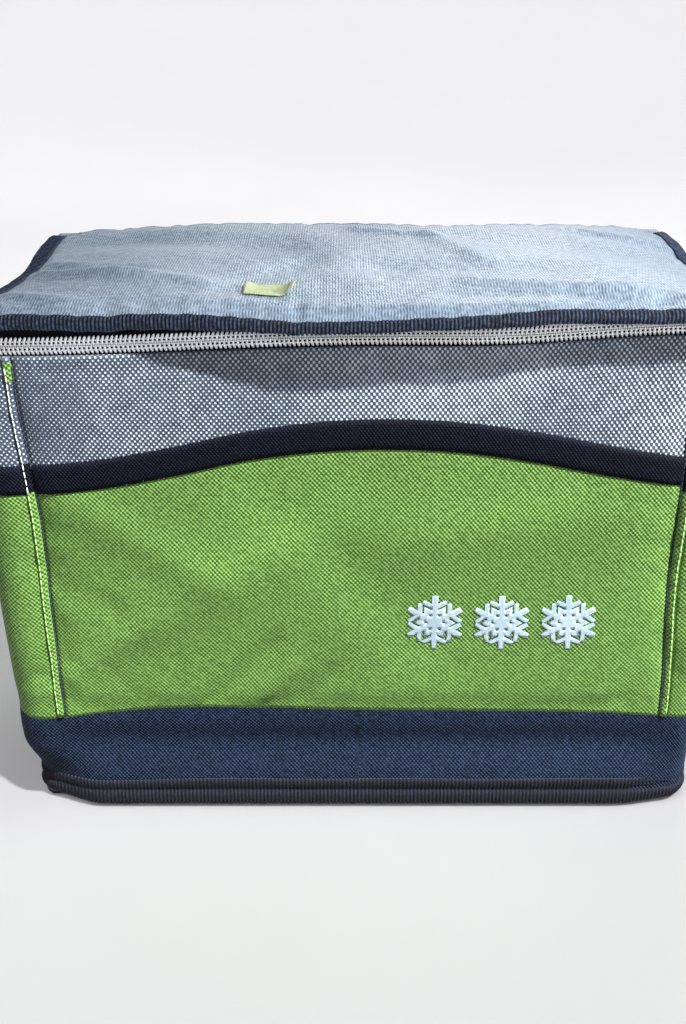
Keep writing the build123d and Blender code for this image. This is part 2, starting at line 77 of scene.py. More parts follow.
LINER_LOW, LINER_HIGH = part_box("inner_liner")
CAMERA_OFFSET = Vector((-7.3 * MM, -370 * MM, 324.7 * MM))     # from the middle of the front's foot
CAMERA_DIP = math.radians(25.5)                                # below level

# --- Sizes of the soft shapes ---------------------------------------------------------------------
CORNER_RADIUS = 13 * MM
LID_FRONT_RADIUS = 14 * MM
LID_REAR_RADIUS = 9 * MM
OVERLAY_INSET = 0.3 * MM
OVERLAY_THICKNESS = 0.9 * MM
WALL_INSET = 1.3 * MM
WALL_THICKNESS = 0.8 * MM
BAND_HEIGHT = 11.5 * MM
MESH_TOP = RIM + 2.5 * MM
BACK_WALL_TOP = 207 * MM
WELT_WIDTH = 3.4 * MM
RIB_PITCH = 1.45 * MM
FOOT_RIB_PITCH = 1.7 * MM
TOOTH_PITCH = 1.71 * MM
STEP = 2.0 * MM                    # grid spacing of a fabric panel


def srgb(*screen):
    """A screen colour, 0 to 255, as the linear colour that a shader takes."""
    shares = [value / 255 for value in screen]
    return (*(v / 12.92 if v <= 0.04045 else ((v + 0.055) / 1.055) ** 2.4 for v in shares), 1.0)


def smooth(t):
    t = np.clip(t, 0, 1)
    return t * t * (3 - 2 * t)


def ramp(x, start, end):
    """From 0 at the start to 1 at the end, which are both in millimetres."""
    return smooth((x / MM - start) / (end - start))


def hill(x, centre, width):
    return np.exp(-(((x - centre) / width) ** 2))


def creases(u, v, table, strength):
    """Soft ridges, each between two points and fading past its ends, from a table in millimetres."""
    total = 0
    for start, end, width, height in table:
        (u0, v0), (u1, v1) = np.array((start, end)) * MM
        du, dv = u1 - u0, v1 - v0
        length = math.hypot(du, dv)
        along = ((u - u0) * du + (v - v0) * dv) / length
        across = ((u - u0) * dv - (v - v0) * du) / length
        beyond = np.maximum(np.maximum(-along, along - length), 0)
        fall = (across / (width * MM)) ** 2 + (beyond / (2.2 * width * MM)) ** 2
        total = total + strength * height * MM * np.exp(-fall)
    return total


# --- Plan outlines ---------------------------------------------------------------------------------
class Outline:
    """A rounded rectangle in plan. A station is the distance walked from the middle of the front edge,
    positive towards +X and round to the back."""

    def __init__(self, half_width, front, back, front_radius, rear_radius):
        w, rf, rr, quarter = half_width, front_radius, rear_radius, math.pi / 2
        side = back - front - rf - rr
        self.half_width, self.front, self.back = w, front, back
        self.rf, self.rr = rf, rr
        self.stretches = [
            (w - rf, (0, front), 0, 0),
            (quarter * rf, (w - rf, front), 0, rf),
            (side, (w, front + rf), quarter, 0),
            (quarter * rr, (w, back - rr), quarter, rr),
            (2 * (w - rr), (w - rr, back), 2 * quarter, 0),
            (quarter * rr, (rr - w, back), 2 * quarter, rr),
            (side, (-w, back - rr), 3 * quarter, 0),
            (quarter * rf, (-w, front + rf), 3 * quarter, rf),
            (w - rf, (rf - w, front), 4 * quarter, 0),
        ]
        self.length = sum(stretch[0] for stretch in self.stretches)
        self.side_start = w - rf + quarter * rf
        self.side_end = self.side_start + side
        self.back_start = self.side_end + quarter * rr

    def at(self, station):
        """Points and outward normals, each (..., 2), at these stations."""
        s = np.mod(np.asarray(station, float), self.length)
        points, normals = np.zeros(s.shape + (2,)), np.zeros(s.shape + (2,))
        begin = 0.0
        for length, start, angle, radius in self.stretches:
            inside = (s >= begin - 1e-12) & (s <= begin + length + 1e-12)
            t = s[inside] - begin
            turn = angle + (t / radius if radius else 0 * t)
            if radius:
                x = start[0] + radius * (np.sin(turn) - math.sin(angle))
                y = start[1] - radius * (np.cos(turn) - math.cos(angle))
            else:
                x, y = start[0] + t * math.cos(angle), start[1] + t * math.sin(angle)
            points[inside] = np.stack([x, y], -1)
            normals[inside] = np.stack([np.sin(turn), -np.cos(turn)], -1)
            begin += length
        return points, normals

    def half_width_at(self, y):
        """Half the width at a distance from front to back, with the corners rounded off."""
        from_front = np.clip(self.front + self.rf - y, 0, self.rf)
        from_back = np.clip(y - self.back + self.rr, 0, self.rr)
        front_cut = self.rf - np.sqrt(np.maximum(self.rf**2 - from_front**2, 0))
        back_cut = self.rr - np.sqrt(np.maximum(self.rr**2 - from_back**2, 0))
        return self.half_width - front_cut - back_cut


BODY = Outline(HALF_WIDTH, FRONT, BACK, CORNER_RADIUS, CORNER_RADIUS)
LID = Outline(LID_HIGH.x, LID_LOW.y, LID_BACK, LID_FRONT_RADIUS, LID_REAR_RADIUS)
FRONT_SEAM = SEAM
BACK_SEAM = BODY.back_start + HALF_WIDTH - CORNER_RADIUS - SEAM


# --- Cloth that settles on its padding --------------------------------------------------------------
CLOTH_STEP = 4 * MM
CLOTH_FRAMES = 22
CLOTH_LIMIT = 2.2 * MM


def start_shape(x, y, phase):
    """The faint waves that the cloth starts from, different for each panel."""
    waves = np.sin(43 * x + 61 * y + phase) + np.sin(97 * x - 38 * y + 2.1 * phase)
    return 0.25 * MM * (waves + np.sin(21 * x + 134 * y + 0.7 * phase))


def settle(width, height, slack, phase, push):
    """Relief of a panel sewn down along its edges over padding, cut larger than its frame by slack."""
    columns, rows = round(width / CLOTH_STEP) + 1, round(height / CLOTH_STEP) + 1
    x, y = np.meshgrid(np.linspace(0, width, columns), np.linspace(0, height, rows))
    start = start_shape(x, y, phase)
    points = np.stack([x, y, start], -1).reshape(-1, 3)
    index = np.arange(rows * columns).reshape(rows, columns)
    quads = np.stack([index[:-1, :-1], index[:-1, 1:], index[1:, 1:], index[1:, :-1]], -1)
    mesh = bpy.data.meshes.new("settling")
    mesh.from_pydata(points.tolist(), [], quads.reshape(-1, 4).tolist())
    cloth_object = bpy.data.objects.new("settling", mesh)
    scene.collection.objects.link(cloth_object)
    held = cloth_object.vertex_groups.new(name="held")
    edge = np.zeros((rows, columns), bool)
    edge[[0, -1], :] = True
    edge[:, [0, -1]] = True
    held.add(index[edge].tolist(), 1.0, "REPLACE")
    held.add(index[~edge].tolist(), 0.06, "REPLACE")
    cloth = cloth_object.modifiers.new("cloth", "CLOTH")
    settings = cloth.settings
    settings.quality = 6
    settings.mass = 0.25
    settings.tension_stiffness = 40
    settings.compression_stiffness = 40
    settings.shear_stiffness = 15
    settings.bending_stiffness = 0.6
    settings.shrink_min = -slack
    settings.vertex_group_mass = "held"
    settings.pin_stiffness = 0.4
    settings.effector_weights.gravity = 1
    cloth.point_cache.frame_end = CLOTH_FRAMES
    old_gravity = scene.gravity.copy()
    scene.gravity = push
    for number in range(1, CLOTH_FRAMES + 1):
        scene.frame_set(number)
    settled = cloth_object.evaluated_get(bpy.context.evaluated_depsgraph_get()).to_mesh()
    found = np.zeros(len(settled.vertices) * 3)
    settled.vertices.foreach_get("co", found)
    scene.gravity = old_gravity
    scene.frame_set(1)
    bpy.data.objects.remove(cloth_object)
    relief = found.reshape(rows, columns, 3)[..., 2]
    return np.tanh(relief / CLOTH_LIMIT) * CLOTH_LIMIT


def sample(field, u, v):
    """A field's value at u, v from 0 to 1 across its columns and rows."""
    rows, columns = field.shape
    x = np.clip(u, 0, 1) * (columns - 1)
    y = np.clip(v, 0, 1) * (rows - 1)
    i, j = np.minimum(x.astype(int), columns - 2), np.minimum(y.astype(int), rows - 2)
    fx, fy = smooth(x - i), smooth(y - j)
    low = field[j, i] * (1 - fx) + field[j, i + 1] * fx
    high = field[j + 1, i] * (1 - fx) + field[j + 1, i + 1] * fx
    return low * (1 - fy) + high * fy


SIDE_LENGTH = BACK_SEAM - FRONT_SEAM
WALL_HEIGHT = RIM - BASE_TOP
relief_front = settle(2 * SEAM, WALL_HEIGHT, 0.006, 0.4, (0, -2.0, 1.0))
relief_left = settle(SIDE_LENGTH, WALL_HEIGHT, 0.006, 1.9, (0, -2.0, 1.0))
relief_right = settle(SIDE_LENGTH, WALL_HEIGHT, 0.006, 3.1, (0, -2.0, 1.0))
relief_back = settle(2 * SEAM, WALL_HEIGHT, 0.008, 4.6, (0, -2.0, 1.0))
relief_lid = settle(2 * LID.half_width, LID.back - LID.front, 0.010, 5.3, (0, 0, 1.5))

# Creases of the front, in mm: where each starts and ends (across, up), its width and its height.
FRONT_CREASES = (
    ((-112, 148), (-66, 120), 9, 0.7),
    ((-84, 100), (-30, 132), 12, 0.8),
    ((-62, 58), (-40, 84), 4.5, -0.8),
    ((-46, 56), (-30, 74), 4, 0.8),
    ((-30, 55), (-14, 70), 5, -0.6),
    ((-20, 140), (22, 96), 13, -0.6),
    ((30, 138), (96, 146), 12, 0.5),
    ((-124, 70), (-96, 92), 6, 0.6),
    ((104, 66), (122, 100), 7, 0.4),
    ((-128, 120), (-104, 104), 6, -0.4),
)


def soft(s, z):
    """How far the settled, filled-out fabric stands proud of the flat wall."""
    s = np.mod(s + BODY.length / 2, BODY.length) - BODY.length / 2
    s, z = np.broadcast_arrays(s, np.minimum(z, RIM))
    v = (z - BASE_TOP) / WALL_HEIGHT
    proud = np.zeros(s.shape)
    front, back = np.abs(s) <= FRONT_SEAM, np.abs(s) >= BACK_SEAM
    right, left = (s > FRONT_SEAM) & ~back, (s < -FRONT_SEAM) & ~back
    proud[front] = sample(relief_front, (s[front] / FRONT_SEAM + 1) / 2, v[front])
    across = (np.abs(s) - FRONT_SEAM) / SIDE_LENGTH
    proud[right] = sample(relief_right, across[right], v[right])
    proud[left] = sample(relief_left, across[left], v[left])
    from_back = np.sign(s) * (BODY.length / 2 - np.abs(s)) / SEAM
    proud[back] = sample(relief_back, (from_back[back] + 1) / 2, v[back])
    proud = proud * 0.6
    proud = proud + creases(s, z, FRONT_CREASES, 1.5)
    middle = np.clip(np.abs(s) / FRONT_SEAM, 0, 1)
    belly = np.sin(np.pi * np.clip(v, 0, 1)) ** 0.8
    proud = proud + np.where(front, 1.3 * MM * (1 - middle**2) * belly, 0)
    side_belly = belly * smooth(across / 0.12) * smooth((1 - across) / 0.12)
    proud = proud + np.where(front | back, 0, 1.9 * MM * side_belly)
    seam_distance = np.minimum(np.abs(np.abs(s) - FRONT_SEAM), np.abs(np.abs(s) - BACK_SEAM))
    pinch = hill(seam_distance, 0, 3.5 * MM)
    proud = proud * smooth((z - BASE_TOP + 1 * MM) / (14 * MM)) * smooth((RIM + 1 * MM - z) / (9 * MM))
    return proud - 0.7 * MM * pinch * smooth((z - BASE_TOP) / (10 * MM))


def base_lean(x, y, z):
    """How far the base band leans in: a crease half way up, a swelling below it, and tucked corners."""
    left, right = ramp(-x, 116, 146), ramp(x, 116, 146)
    level = 1 - left - right
    ahead = np.where(y < CENTRE_Y, 1.0, -0.4)
    fold = 1.7 * MM * hill(z, 35 * MM, 7 * MM)
    swell = 2.1 * MM * ahead * ramp(z, 30, 14)
    step = ramp(z, 37, 24)
    tuck = ramp(z, 9, 0)
    late_step, flare = ramp(z, 33, 14), hill(z, 42 * MM, 20 * MM)
    tucked = left * (5.0 * late_step + 2 * tuck - 1.8 * flare) + right * (step + 1.5 * tuck)
    return level * (fold - swell) + tucked * MM


def rim_lift(s):
    """How far the rim and the zip ride above level at the front right, or hang below it on the left."""
    point = BODY.at(s)[0]
    x, y = point[..., 0], point[..., 1]
    on_right = smooth((FRONT + 30 * MM - y) / (18 * MM))
    near_front = np.where(x > 0, on_right, smooth((CENTRE_Y - y) / (62 * MM)))
    ahead_of_rear = ramp(y, 62, 12)
    left = 4.0 * MM * ramp(x, 10, -140) * ahead_of_rear
    return near_front * (0.9 * MM + 4.3 * MM * ramp(x, 40, 130)) - left


def sideways(x, y, z):
    """How far the front's seams lean to the side, most of all towards the top on the right."""
    near_front = smooth((CENTRE_Y - y) / (0.8 * (CENTRE_Y - FRONT)))
    lower, upper = ramp(z, 50, 125), ramp(z, 140, 200)
    corner = 1 - ramp(x, 132, 150)
    right = MM * (1.6 - 5.0 * lower - 1.5 * upper) * smooth(x / (130 * MM)) * corner
    left = MM * (0.7 + hill(z, 150 * MM, 40 * MM) - 2.0 * upper) * smooth(-x / (130 * MM))
    return near_front * (right + left)


def wall(s, z, inset):
    """Points on the body's wall at a depth below its outermost layer."""
    s, z = np.broadcast_arrays(np.asarray(s, float), np.asarray(z, float))
    point, normal = BODY.at(s)
    out = soft(s, z) - inset - base_lean(point[..., 0], point[..., 1], z)
    x, y = point[..., 0] + normal[..., 0] * out, point[..., 1] + normal[..., 1] * out
    lift = rim_lift(s) * ramp(z, 168, 212)
    return np.stack([x + sideways(x, y, z), y, z + lift], -1)


def beside(outline, stations, out, z):
    """Points at height z, moved outwards in plan from an outline's stations."""
    point, normal = outline.at(stations)
    x, y = point[..., 0] + normal[..., 0] * out, point[..., 1] + normal[..., 1] * out
    return grid_of(x, y, z)


def grid_of(*axes):
    """Points, or cloth coordinates, from axes that spread over one grid."""
    return np.stack(np.broadcast_arrays(*axes), -1)


# --- Meshes ------------------------------------------------------------------------------------------
def finish_piece(obj, body):
    """Give a piece its body, and let it take the place of the CAD node whose name it bears, if there is one.
    """
    obj.data.shade_smooth()
    if body:
        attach(obj, body)
    node = obj.name.split(".")[0]
    if node in frame["nodes"]:
        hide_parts(node)


def new_object(name, vertices, faces, materials, uv=None, face_materials=None):
    mesh = bpy.data.meshes.new(name)
    mesh.from_pydata(np.asarray(vertices).reshape(-1, 3).tolist(), [], faces)
    if uv is not None:
        layer = mesh.uv_layers.new(name="cloth")
        loops = np.zeros(len(mesh.loops), int)
        mesh.loops.foreach_get("vertex_index", loops)
        layer.data.foreach_set("uv", np.asarray(uv).reshape(-1, 2)[loops].ravel())
    for material in materials:
        mesh.materials.append(material)
    if face_materials is not None:
        mesh.polygons.foreach_set("material_index", face_materials)
    mesh.update()
    obj = bpy.data.objects.new(name, mesh)
    scene.collection.objects.link(obj)
    return obj


def grid_faces(index, wrap=False):
    """Quads over a grid of vertex numbers, closed along its first direction if wrap."""
    if wrap:
        index = np.concatenate([index, index[:1]], 0)
    quads = np.stack([index[:-1, :-1], index[1:, :-1], index[1:, 1:], index[:-1, 1:]], -1)
    return quads.reshape(-1, 4)


def shell(name, outer, inner, uv, materials, wrap=False, face_material=None):
    """A closed cloth between two grids of points, each (columns, rows, 3)."""
    columns, rows = outer.shape[:2]
    top = np.arange(columns * rows).reshape(columns, rows)
    under = top + columns * rows
    faces = [grid_faces(top, wrap), grid_faces(under, wrap)[:, ::-1]]
    rims = [(top[:, 0], under[:, 0], wrap), (under[:, -1], top[:, -1], wrap)]
    if not wrap:
        rims += [(under[0], top[0], False), (top[-1], under[-1], False)]
    for a, b, close in rims:
        faces.append(grid_faces(np.stack([b, a], 1), close))
    quads = np.concatenate(faces)
    points = np.concatenate([outer.reshape(-1, 3), inner.reshape(-1, 3)])
    both = np.concatenate([uv.reshape(-1, 2), uv.reshape(-1, 2)])
    chosen = None
    if face_material is not None:
        chosen = face_material(points[quads].mean(1)).astype(int)
    return new_object(name, points, quads.tolist(), materials, both, chosen)


def wall_panel(name, stations, bottom, top, inset, thickness, materials, raised=None, wrap=False,
               face_material=None):
    """A panel of the wall. bottom and top are heights, or functions of the station."""
    low = bottom(stations) if callable(bottom) else np.full(stations.shape, bottom)
    high = top(stations) if callable(top) else np.full(stations.shape, top)
    rows = max(3, round(float((high - low).max()) / STEP) + 1)
    t = np.linspace(0, 1, rows)
    s = np.repeat(stations[:, None], rows, 1)
    z = low[:, None] + (high - low)[:, None] * t
    lift = 0 if raised is None else raised(s, t[None, :] + 0 * s)
    outer = wall(s, z, inset - lift)
    inner = wall(s, z, inset + thickness)
    return shell(name, outer, inner, np.stack([s, z], -1), materials, wrap, face_material)


def sheet_in_plan(name, outline, inset, top, thickness, materials, back_inset=0.0):
    """A level sheet inside an outline. top is its height as a function of x and y."""
    front, back = outline.front + inset, outline.back - back_inset
    rows = round((back - front) / STEP) + 1
    columns = round(2 * outline.half_width / STEP) + 1
    t = np.linspace(0, 1, rows)
    y = front + (back - front) * (t - 0.06 * np.sin(2 * np.pi * t))
    half = outline.half_width_at(np.clip(y, outline.front + inset * 0.4, outline.back)) - inset
    u = np.linspace(-1, 1, columns)[:, None]
    x = u * half[None, :]
    y = np.repeat(y[None, :], columns, 0)
    upper = np.stack([x, y, top(x, y)], -1)
    lower = upper - np.array([0, 0, thickness])
    return shell(name, upper, lower, np.stack([x, y], -1), materials)


def loop_solid(name, grid, uv, materials, wrap=False):
    """A solid from closed cross-sections: grid is (stations, points round the section, 3)."""
    stations, around = grid.shape[:2]
    index = np.arange(stations * around).reshape(stations, around)
    closed = np.concatenate([index, index[:, :1]], 1)
    faces = grid_faces(closed, wrap).tolist()
    if not wrap:
        faces += [index[0].tolist(), index[-1][::-1].tolist()]
    return new_object(name, grid, faces, materials, uv)


def capsules(centres, directions, half_lengths, radii, sides=6, rings=5):
    """Vertices and faces of many rounded rods, whose sizes may be shared."""
    half_lengths = np.broadcast_to(half_lengths, len(centres))[:, None, None, None]
    radii = np.broadcast_to(radii, len(centres))[:, None, None, None]
    directions = directions / np.linalg.norm(directions, axis=1, keepdims=True)
    helper = np.where(np.abs(directions[:, :1]) < 0.9, [[1.0, 0, 0]], [[0, 1.0, 0]])
    side = np.cross(directions, helper)
    side /= np.linalg.norm(side, axis=1, keepdims=True)
    other = np.cross(directions, side)
    t = np.linspace(-1, 1, rings)
    girth = np.sqrt(np.maximum(1 - np.abs(t) ** 3.2, 0.02))
    angle = np.linspace(0, 2 * np.pi, sides, endpoint=False)
    along = directions[:, None, None] * t[None, :, None, None] * half_lengths
    around = side[:, None, None] * np.cos(angle)[:, None] + other[:, None, None] * np.sin(angle)[:, None]
    points = centres[:, None, None] + along + around * girth[None, :, None, None] * radii
    count, per = len(centres), rings * sides
    index = np.arange(per).reshape(rings, sides)
    closed = np.concatenate([index, index[:, :1]], 1)
    body = grid_faces(closed)
    offsets = (np.arange(count) * per)[:, None, None]
    quads = (body[None] + offsets).reshape(-1, 4).tolist()
    caps = np.stack([index[0], index[-1][::-1]])
    quads += (caps[None] + offsets).reshape(-1, sides).tolist()
    return points.reshape(-1, 3), quads


def merge(parts):
    """The vertices and faces of several meshes as one."""
    vertices, faces, base = [], [], 0
    for points, quads in parts:
        vertices.append(points)
        faces += [[i + base for i in quad] for quad in quads]
        base += len(points)
    return np.concatenate(vertices), faces


def sew_rods(name, centres, ways, half_length, radius, material, slot):
    """A row of stitches, or a cord laid in short lengths, as a piece on the body."""
    rods = capsules(centres, ways, half_length, radius)
    finish_piece(new_object(name, *rods, [material]), "body")


# --- Materials --------------------------------------------------------------------------------------
class Shader:
    """A principled material and short calls for the nodes that feed it."""

    def __init__(self, name, **constants):
        self.material = bpy.data.materials.new(name)
        self.material.use_nodes = True
        self.tree = self.material.node_tree
        self.surface = self.tree.nodes["Principled BSDF"]
        for socket, value in constants.items():
            self.surface.inputs[socket.replace("_", " ")].default_value = value

    def node(self, kind, **settings):
        made = self.tree.nodes.new("ShaderNode" + kind)
        for name, value in settings.items():
            setattr(made, name, value)
        return made

    def put(self, socket, value):
        if isinstance(value, bpy.types.NodeSocket):
            self.tree.links.new(value, socket)
        else:
            socket.default_value = value

    def math(self, operation, a, b=0.0):
        made = self.node("Math", operation=operation)
        for socket, value in zip(made.inputs, (a, b)):
            self.put(socket, value)
        return made.outputs[0]

    def mix(self, share, a, b):
        made = self.node("Mix", data_type="RGBA")
        self.put(made.inputs["Factor"], share)
        self.put(made.inputs["A"], a)
        self.put(made.inputs["B"], b)
        return made.outputs["Result"]

    def noise(self, scale, detail=2.0, roughness=0.5):
        made = self.node("TexNoise")
        self.put(made.inputs["Vector"], self.node("TexCoord").outputs["Object"])
        for socket, value in (("Scale", scale), ("Detail", detail), ("Roughness", roughness)):
            made.inputs[socket].default_value = value
        return made.outputs["Fac"]

    def cloth_axes(self):
        split = self.node("SeparateXYZ")
        self.put(split.inputs[0], self.node("UVMap", uv_map="cloth").outputs["UV"])
        return split.outputs["X"], split.outputs["Y"]

    def range(self, value, low, high, to_low=0.0, to_high=1.0):
        made = self.node("MapRange")
        for socket, number in zip(made.inputs, (value, low, high, to_low, to_high)):
            self.put(socket, number)
        return made.outputs[0]

    def bump(self, height, distance, strength=1.0, under=None):
        made = self.node("Bump")
        self.put(made.inputs["Height"], height)
        made.inputs["Distance"].default_value = distance
        made.inputs["Strength"].default_value = strength
        if under is not None:
            self.put(made.inputs["Normal"], under)
        return made.outputs["Normal"]

    def wave(self, kind, axis, pitch):
        """A wave along an axis that goes once up and down in twice the pitch."""
        return self.math(kind, self.math("MULTIPLY", axis, math.pi / pitch))

    def lattice(self, pitch_u, pitch_v):
        """Bumps and dips that alternate like the squares of a chessboard, from -1 to 1."""
        u, v = self.cloth_axes()
        return self.math("MULTIPLY", self.wave("SINE", u, pitch_u), self.wave("SINE", v, pitch_v))

    def finish(self, colour, normal, roughness):
        for socket, value in (("Base Color", colour), ("Normal", normal), ("Roughness", roughness)):
            self.put(self.surface.inputs[socket], value)
        return self.material


def woven(name, dark, light, pitch_u, pitch_v, depth=0.3 * MM, variation=0.12, specular=0.3, shift=0.0):
    """A plain weave in its yarn's colour, with painted shade between the yarns and a painted highlight on
    their crowns, uneven from place to place.
    """
    sh = Shader(name, Specular_IOR_Level=specular)
    weave = sh.lattice(pitch_u, pitch_v)
    slub = sh.range(sh.noise(650, 2.0), 0.3, 0.7, -0.35, 0.35)
    crown = sh.range(sh.math("ADD", weave, slub), shift - 0.8, shift + 0.8)
    # dark is painted shade between the yarns, light a painted highlight on their crowns
    colour = sh.mix(crown, dark, light)
    patch = sh.range(sh.noise(14, 3.0), 0.3, 0.7, 1 - variation, 1 + variation)
    tone = sh.node("VectorMath", operation="SCALE")
    sh.put(tone.inputs[0], colour)
    sh.put(tone.inputs["Scale"], patch)
    creases = sh.bump(sh.noise(70, 4.0, 0.6), 0.8 * MM, 0.3)
    normal = sh.bump(crown, depth, 0.9, creases)
    return sh.finish(tone.outputs[0], normal, sh.range(crown, 0, 1, 0.8, 0.58))


def meshed(name):
    """Open black mesh over silver-blue cloth, which shows through the holes as bright dots."""
    sh = Shader(name, Specular_IOR_Level=0.3)
    weave = sh.lattice(1.03 * MM, 1.2 * MM)
    fine = sh.range(sh.noise(230, 3.0), 0.3, 0.7, -0.14, 0.14)
    coarse = sh.range(sh.noise(16, 2.0), 0.35, 0.65, -0.16, 0.14)
    u = sh.cloth_axes()[0]
    # Painted shade towards the left: the holes close up from 55 mm left of the middle to 125 mm, and stay
    # closed over the whole left side.
    left_shade = sh.range(u, -0.125, -0.055, -0.32, 0)
    open_weave = sh.math("ADD", sh.math("ADD", weave, fine), sh.math("ADD", coarse, left_shade))
    hole = sh.range(open_weave, -0.1, 0.85)
    cloth = sh.mix(sh.noise(30, 2.0), srgb(160, 175, 192), srgb(204, 215, 228))
    yarn = sh.mix(sh.noise(420, 2.0), srgb(16, 20, 30), srgb(70, 80, 94))
    colour = sh.mix(hole, yarn, cloth)
    normal = sh.bump(sh.math("MULTIPLY", hole, -1.0), 0.3 * MM, 0.7)
    return sh.finish(colour, normal, sh.range(hole, 0, 1, 0.55, 0.75))


def ribbed(name, dark, light, roughness=0.6, pitch=RIB_PITCH):
    """Woven tape whose ribs are in the mesh: fine yarns along them, painted shade in the troughs and a
    painted highlight on their crests.
    """
    sh = Shader(name, Specular_IOR_Level=0.25)
    yarn = sh.lattice(pitch / 2, 0.35 * MM)
    u = sh.cloth_axes()[0]
    wave = sh.wave("COSINE", u, pitch / 2)
    crest = sh.range(sh.math("ADD", wave, sh.math("MULTIPLY", yarn, 0.4)), -0.8, 1.2)
    fleck = sh.range(sh.noise(700, 2.0), 0.35, 0.7, 0.15, 1.0)
    # Painted highlight on the rib crests and painted shade in the troughs, flecked at random.
    colour = sh.mix(sh.math("MULTIPLY", crest, fleck), dark, light)
    normal = sh.bump(yarn, 0.1 * MM, 0.7, sh.bump(sh.noise(80, 3.0), 0.4 * MM, 0.3))
    return sh.finish(colour, normal, roughness)


def lid_fabric(name):
    """Fine silver-blue cloth with a silky face, ribbed from front to back, with painted sheen on the rib
    crowns and painted shade between them.
    """
    sh = Shader(name, Sheen_Weight=0.15, Sheen_Roughness=0.3, Sheen_Tint=srgb(225, 240, 255),
                Specular_IOR_Level=0.6, Anisotropic=0.3)
    u = sh.cloth_axes()[0]
    bent = sh.math("ADD", u, sh.math("MULTIPLY", sh.noise(30, 2.0), 1.5 * MM))
    rib = sh.wave("COSINE", bent, 0.575 * MM)
    dash = sh.lattice(0.62 * MM, 2.0 * MM)
    crown = sh.math("ADD", sh.math("MULTIPLY", rib, 0.6), sh.math("MULTIPLY", dash, 0.5))
    slub = sh.range(sh.noise(420, 2.0), 0.3, 0.7, -0.6, 0.6)
    crown = sh.range(sh.math("ADD", crown, slub), -1.1, 1.1)
    worn = sh.range(sh.noise(9, 2.0), 0.35, 0.65)
    # low is painted shade between the ribs and high a painted sheen on their crowns, each in two tones that
    # differ at random
    low = sh.mix(worn, srgb(66, 84, 106), srgb(112, 130, 150))
    high = sh.mix(worn, srgb(150, 172, 194), srgb(186, 204, 220))
    creases = sh.bump(sh.noise(38, 5.0, 0.62), 3.0 * MM, 0.8)
    normal = sh.bump(crown, 0.2 * MM, 0.8, creases)
    return sh.finish(sh.mix(crown, low, high), normal, sh.range(crown, 0, 1, 0.5, 0.36))


def plain(name, colour, other, roughness, scale=300, depth=0.05 * MM, metallic=0.0, **constants):
    """A moulded, painted or printed surface with a fine grain and a little wear in its colour."""
    sh = Shader(name, Metallic=metallic, **constants)
    grain = sh.noise(scale, 3.0)
    tone = sh.mix(sh.range(sh.noise(scale / 8, 3.0), 0.35, 0.7), colour, other)
    rough = sh.range(grain, 0.3, 0.7, roughness - 0.07, roughness + 0.07)
    return sh.finish(tone, sh.bump(grain, depth, 0.4), rough)


# Each woven cloth's first colour is painted shade between its yarns, the second a painted highlight on their
# crowns.
GREEN = woven("green_weave", srgb(36, 69, 13), srgb(108, 145, 70), 0.9 * MM, 1.0 * MM)
NAVY = woven("navy_weave", srgb(1, 2, 6), srgb(42, 58, 86), 0.83 * MM, 0.95 * MM, specular=0.1, shift=0.35)
BAND = woven("band_weave", srgb(1, 1, 3), srgb(19, 27, 45), 0.7 * MM, 0.9 * MM, specular=0.08, shift=0.5)
TAPE = woven("tape_weave", srgb(3, 4, 5), srgb(16, 17, 22), 0.4 * MM, 0.4 * MM, specular=0.1)
LIME = woven("lime_weave", srgb(152, 174, 114), srgb(224, 230, 196), 0.45 * MM, 0.45 * MM,
             depth=0.05 * MM, variation=0.04)
LIME_UNDER = woven("lime_underside", srgb(60, 104, 30), srgb(140, 186, 92), 0.45 * MM, 0.45 * MM,
                   depth=0.05 * MM, variation=0.05)
MESH = meshed("mesh_over_silver")
# Each ribbed tape's first colour is painted shade in its troughs, the second a painted highlight on its
# crests.
RIBS = ribbed("ribbed_binding", srgb(1, 2, 5), srgb(82, 100, 136))
FOOT_RIBS = ribbed("ribbed_foot_binding", srgb(1, 2, 4), srgb(17, 26, 46), 0.7, FOOT_RIB_PITCH)
WEBBING = ribbed("webbing", srgb(8, 11, 20), srgb(66, 78, 100), 0.65)
SILVER = lid_fabric("silver_blue_cloth")
LINER = plain("liner_film", srgb(186, 193, 200), srgb(206, 212, 218), 0.3, 60, 0.3 * MM,
              metallic=0.25, Coat_Weight=0.3, Coat_Roughness=0.25)
FOAM = plain("foam", srgb(232, 232, 226), srgb(218, 219, 214), 0.9, 900, 0.1 * MM)
BOARD = plain("board", srgb(70, 72, 74), srgb(88, 90, 92), 0.6, 400)
PRINT = plain("print_film", srgb(150, 168, 178), srgb(136, 156, 168), 0.55, 500, 0.06 * MM)
COIL = plain("nylon_coil", srgb(230, 234, 240), srgb(208, 205, 202), 0.35, 160, 0.03 * MM,
             Coat_Weight=0.2, Coat_Roughness=0.3)
METAL = plain("painted_metal", srgb(52, 58, 68), srgb(74, 80, 90), 0.35, 500, 0.02 * MM, metallic=0.6)
PLASTIC = plain("black_plastic", srgb(24, 25, 28), srgb(36, 37, 41), 0.42, 700, 0.03 * MM)
THREAD_GREEN = plain("green_thread", srgb(150, 196, 108), srgb(176, 214, 140), 0.6, 900)
THREAD_PALE = plain("pale_thread", srgb(198, 206, 200), srgb(224, 228, 226), 0.6, 900)
THREAD_DARK = plain("dark_thread", srgb(20, 26, 40), srgb(34, 42, 58), 0.6, 900)


# --- Base -------------------------------------------------------------------------------------------
def side_runs(margin=0.0):
    """The front's and the sides' first and last stations, the sides' a margin in from their seams."""
    near, far = FRONT_SEAM + margin, BACK_SEAM - margin
    return ("front", -FRONT_SEAM, FRONT_SEAM), ("right", near, far), ("left", -far, -near)


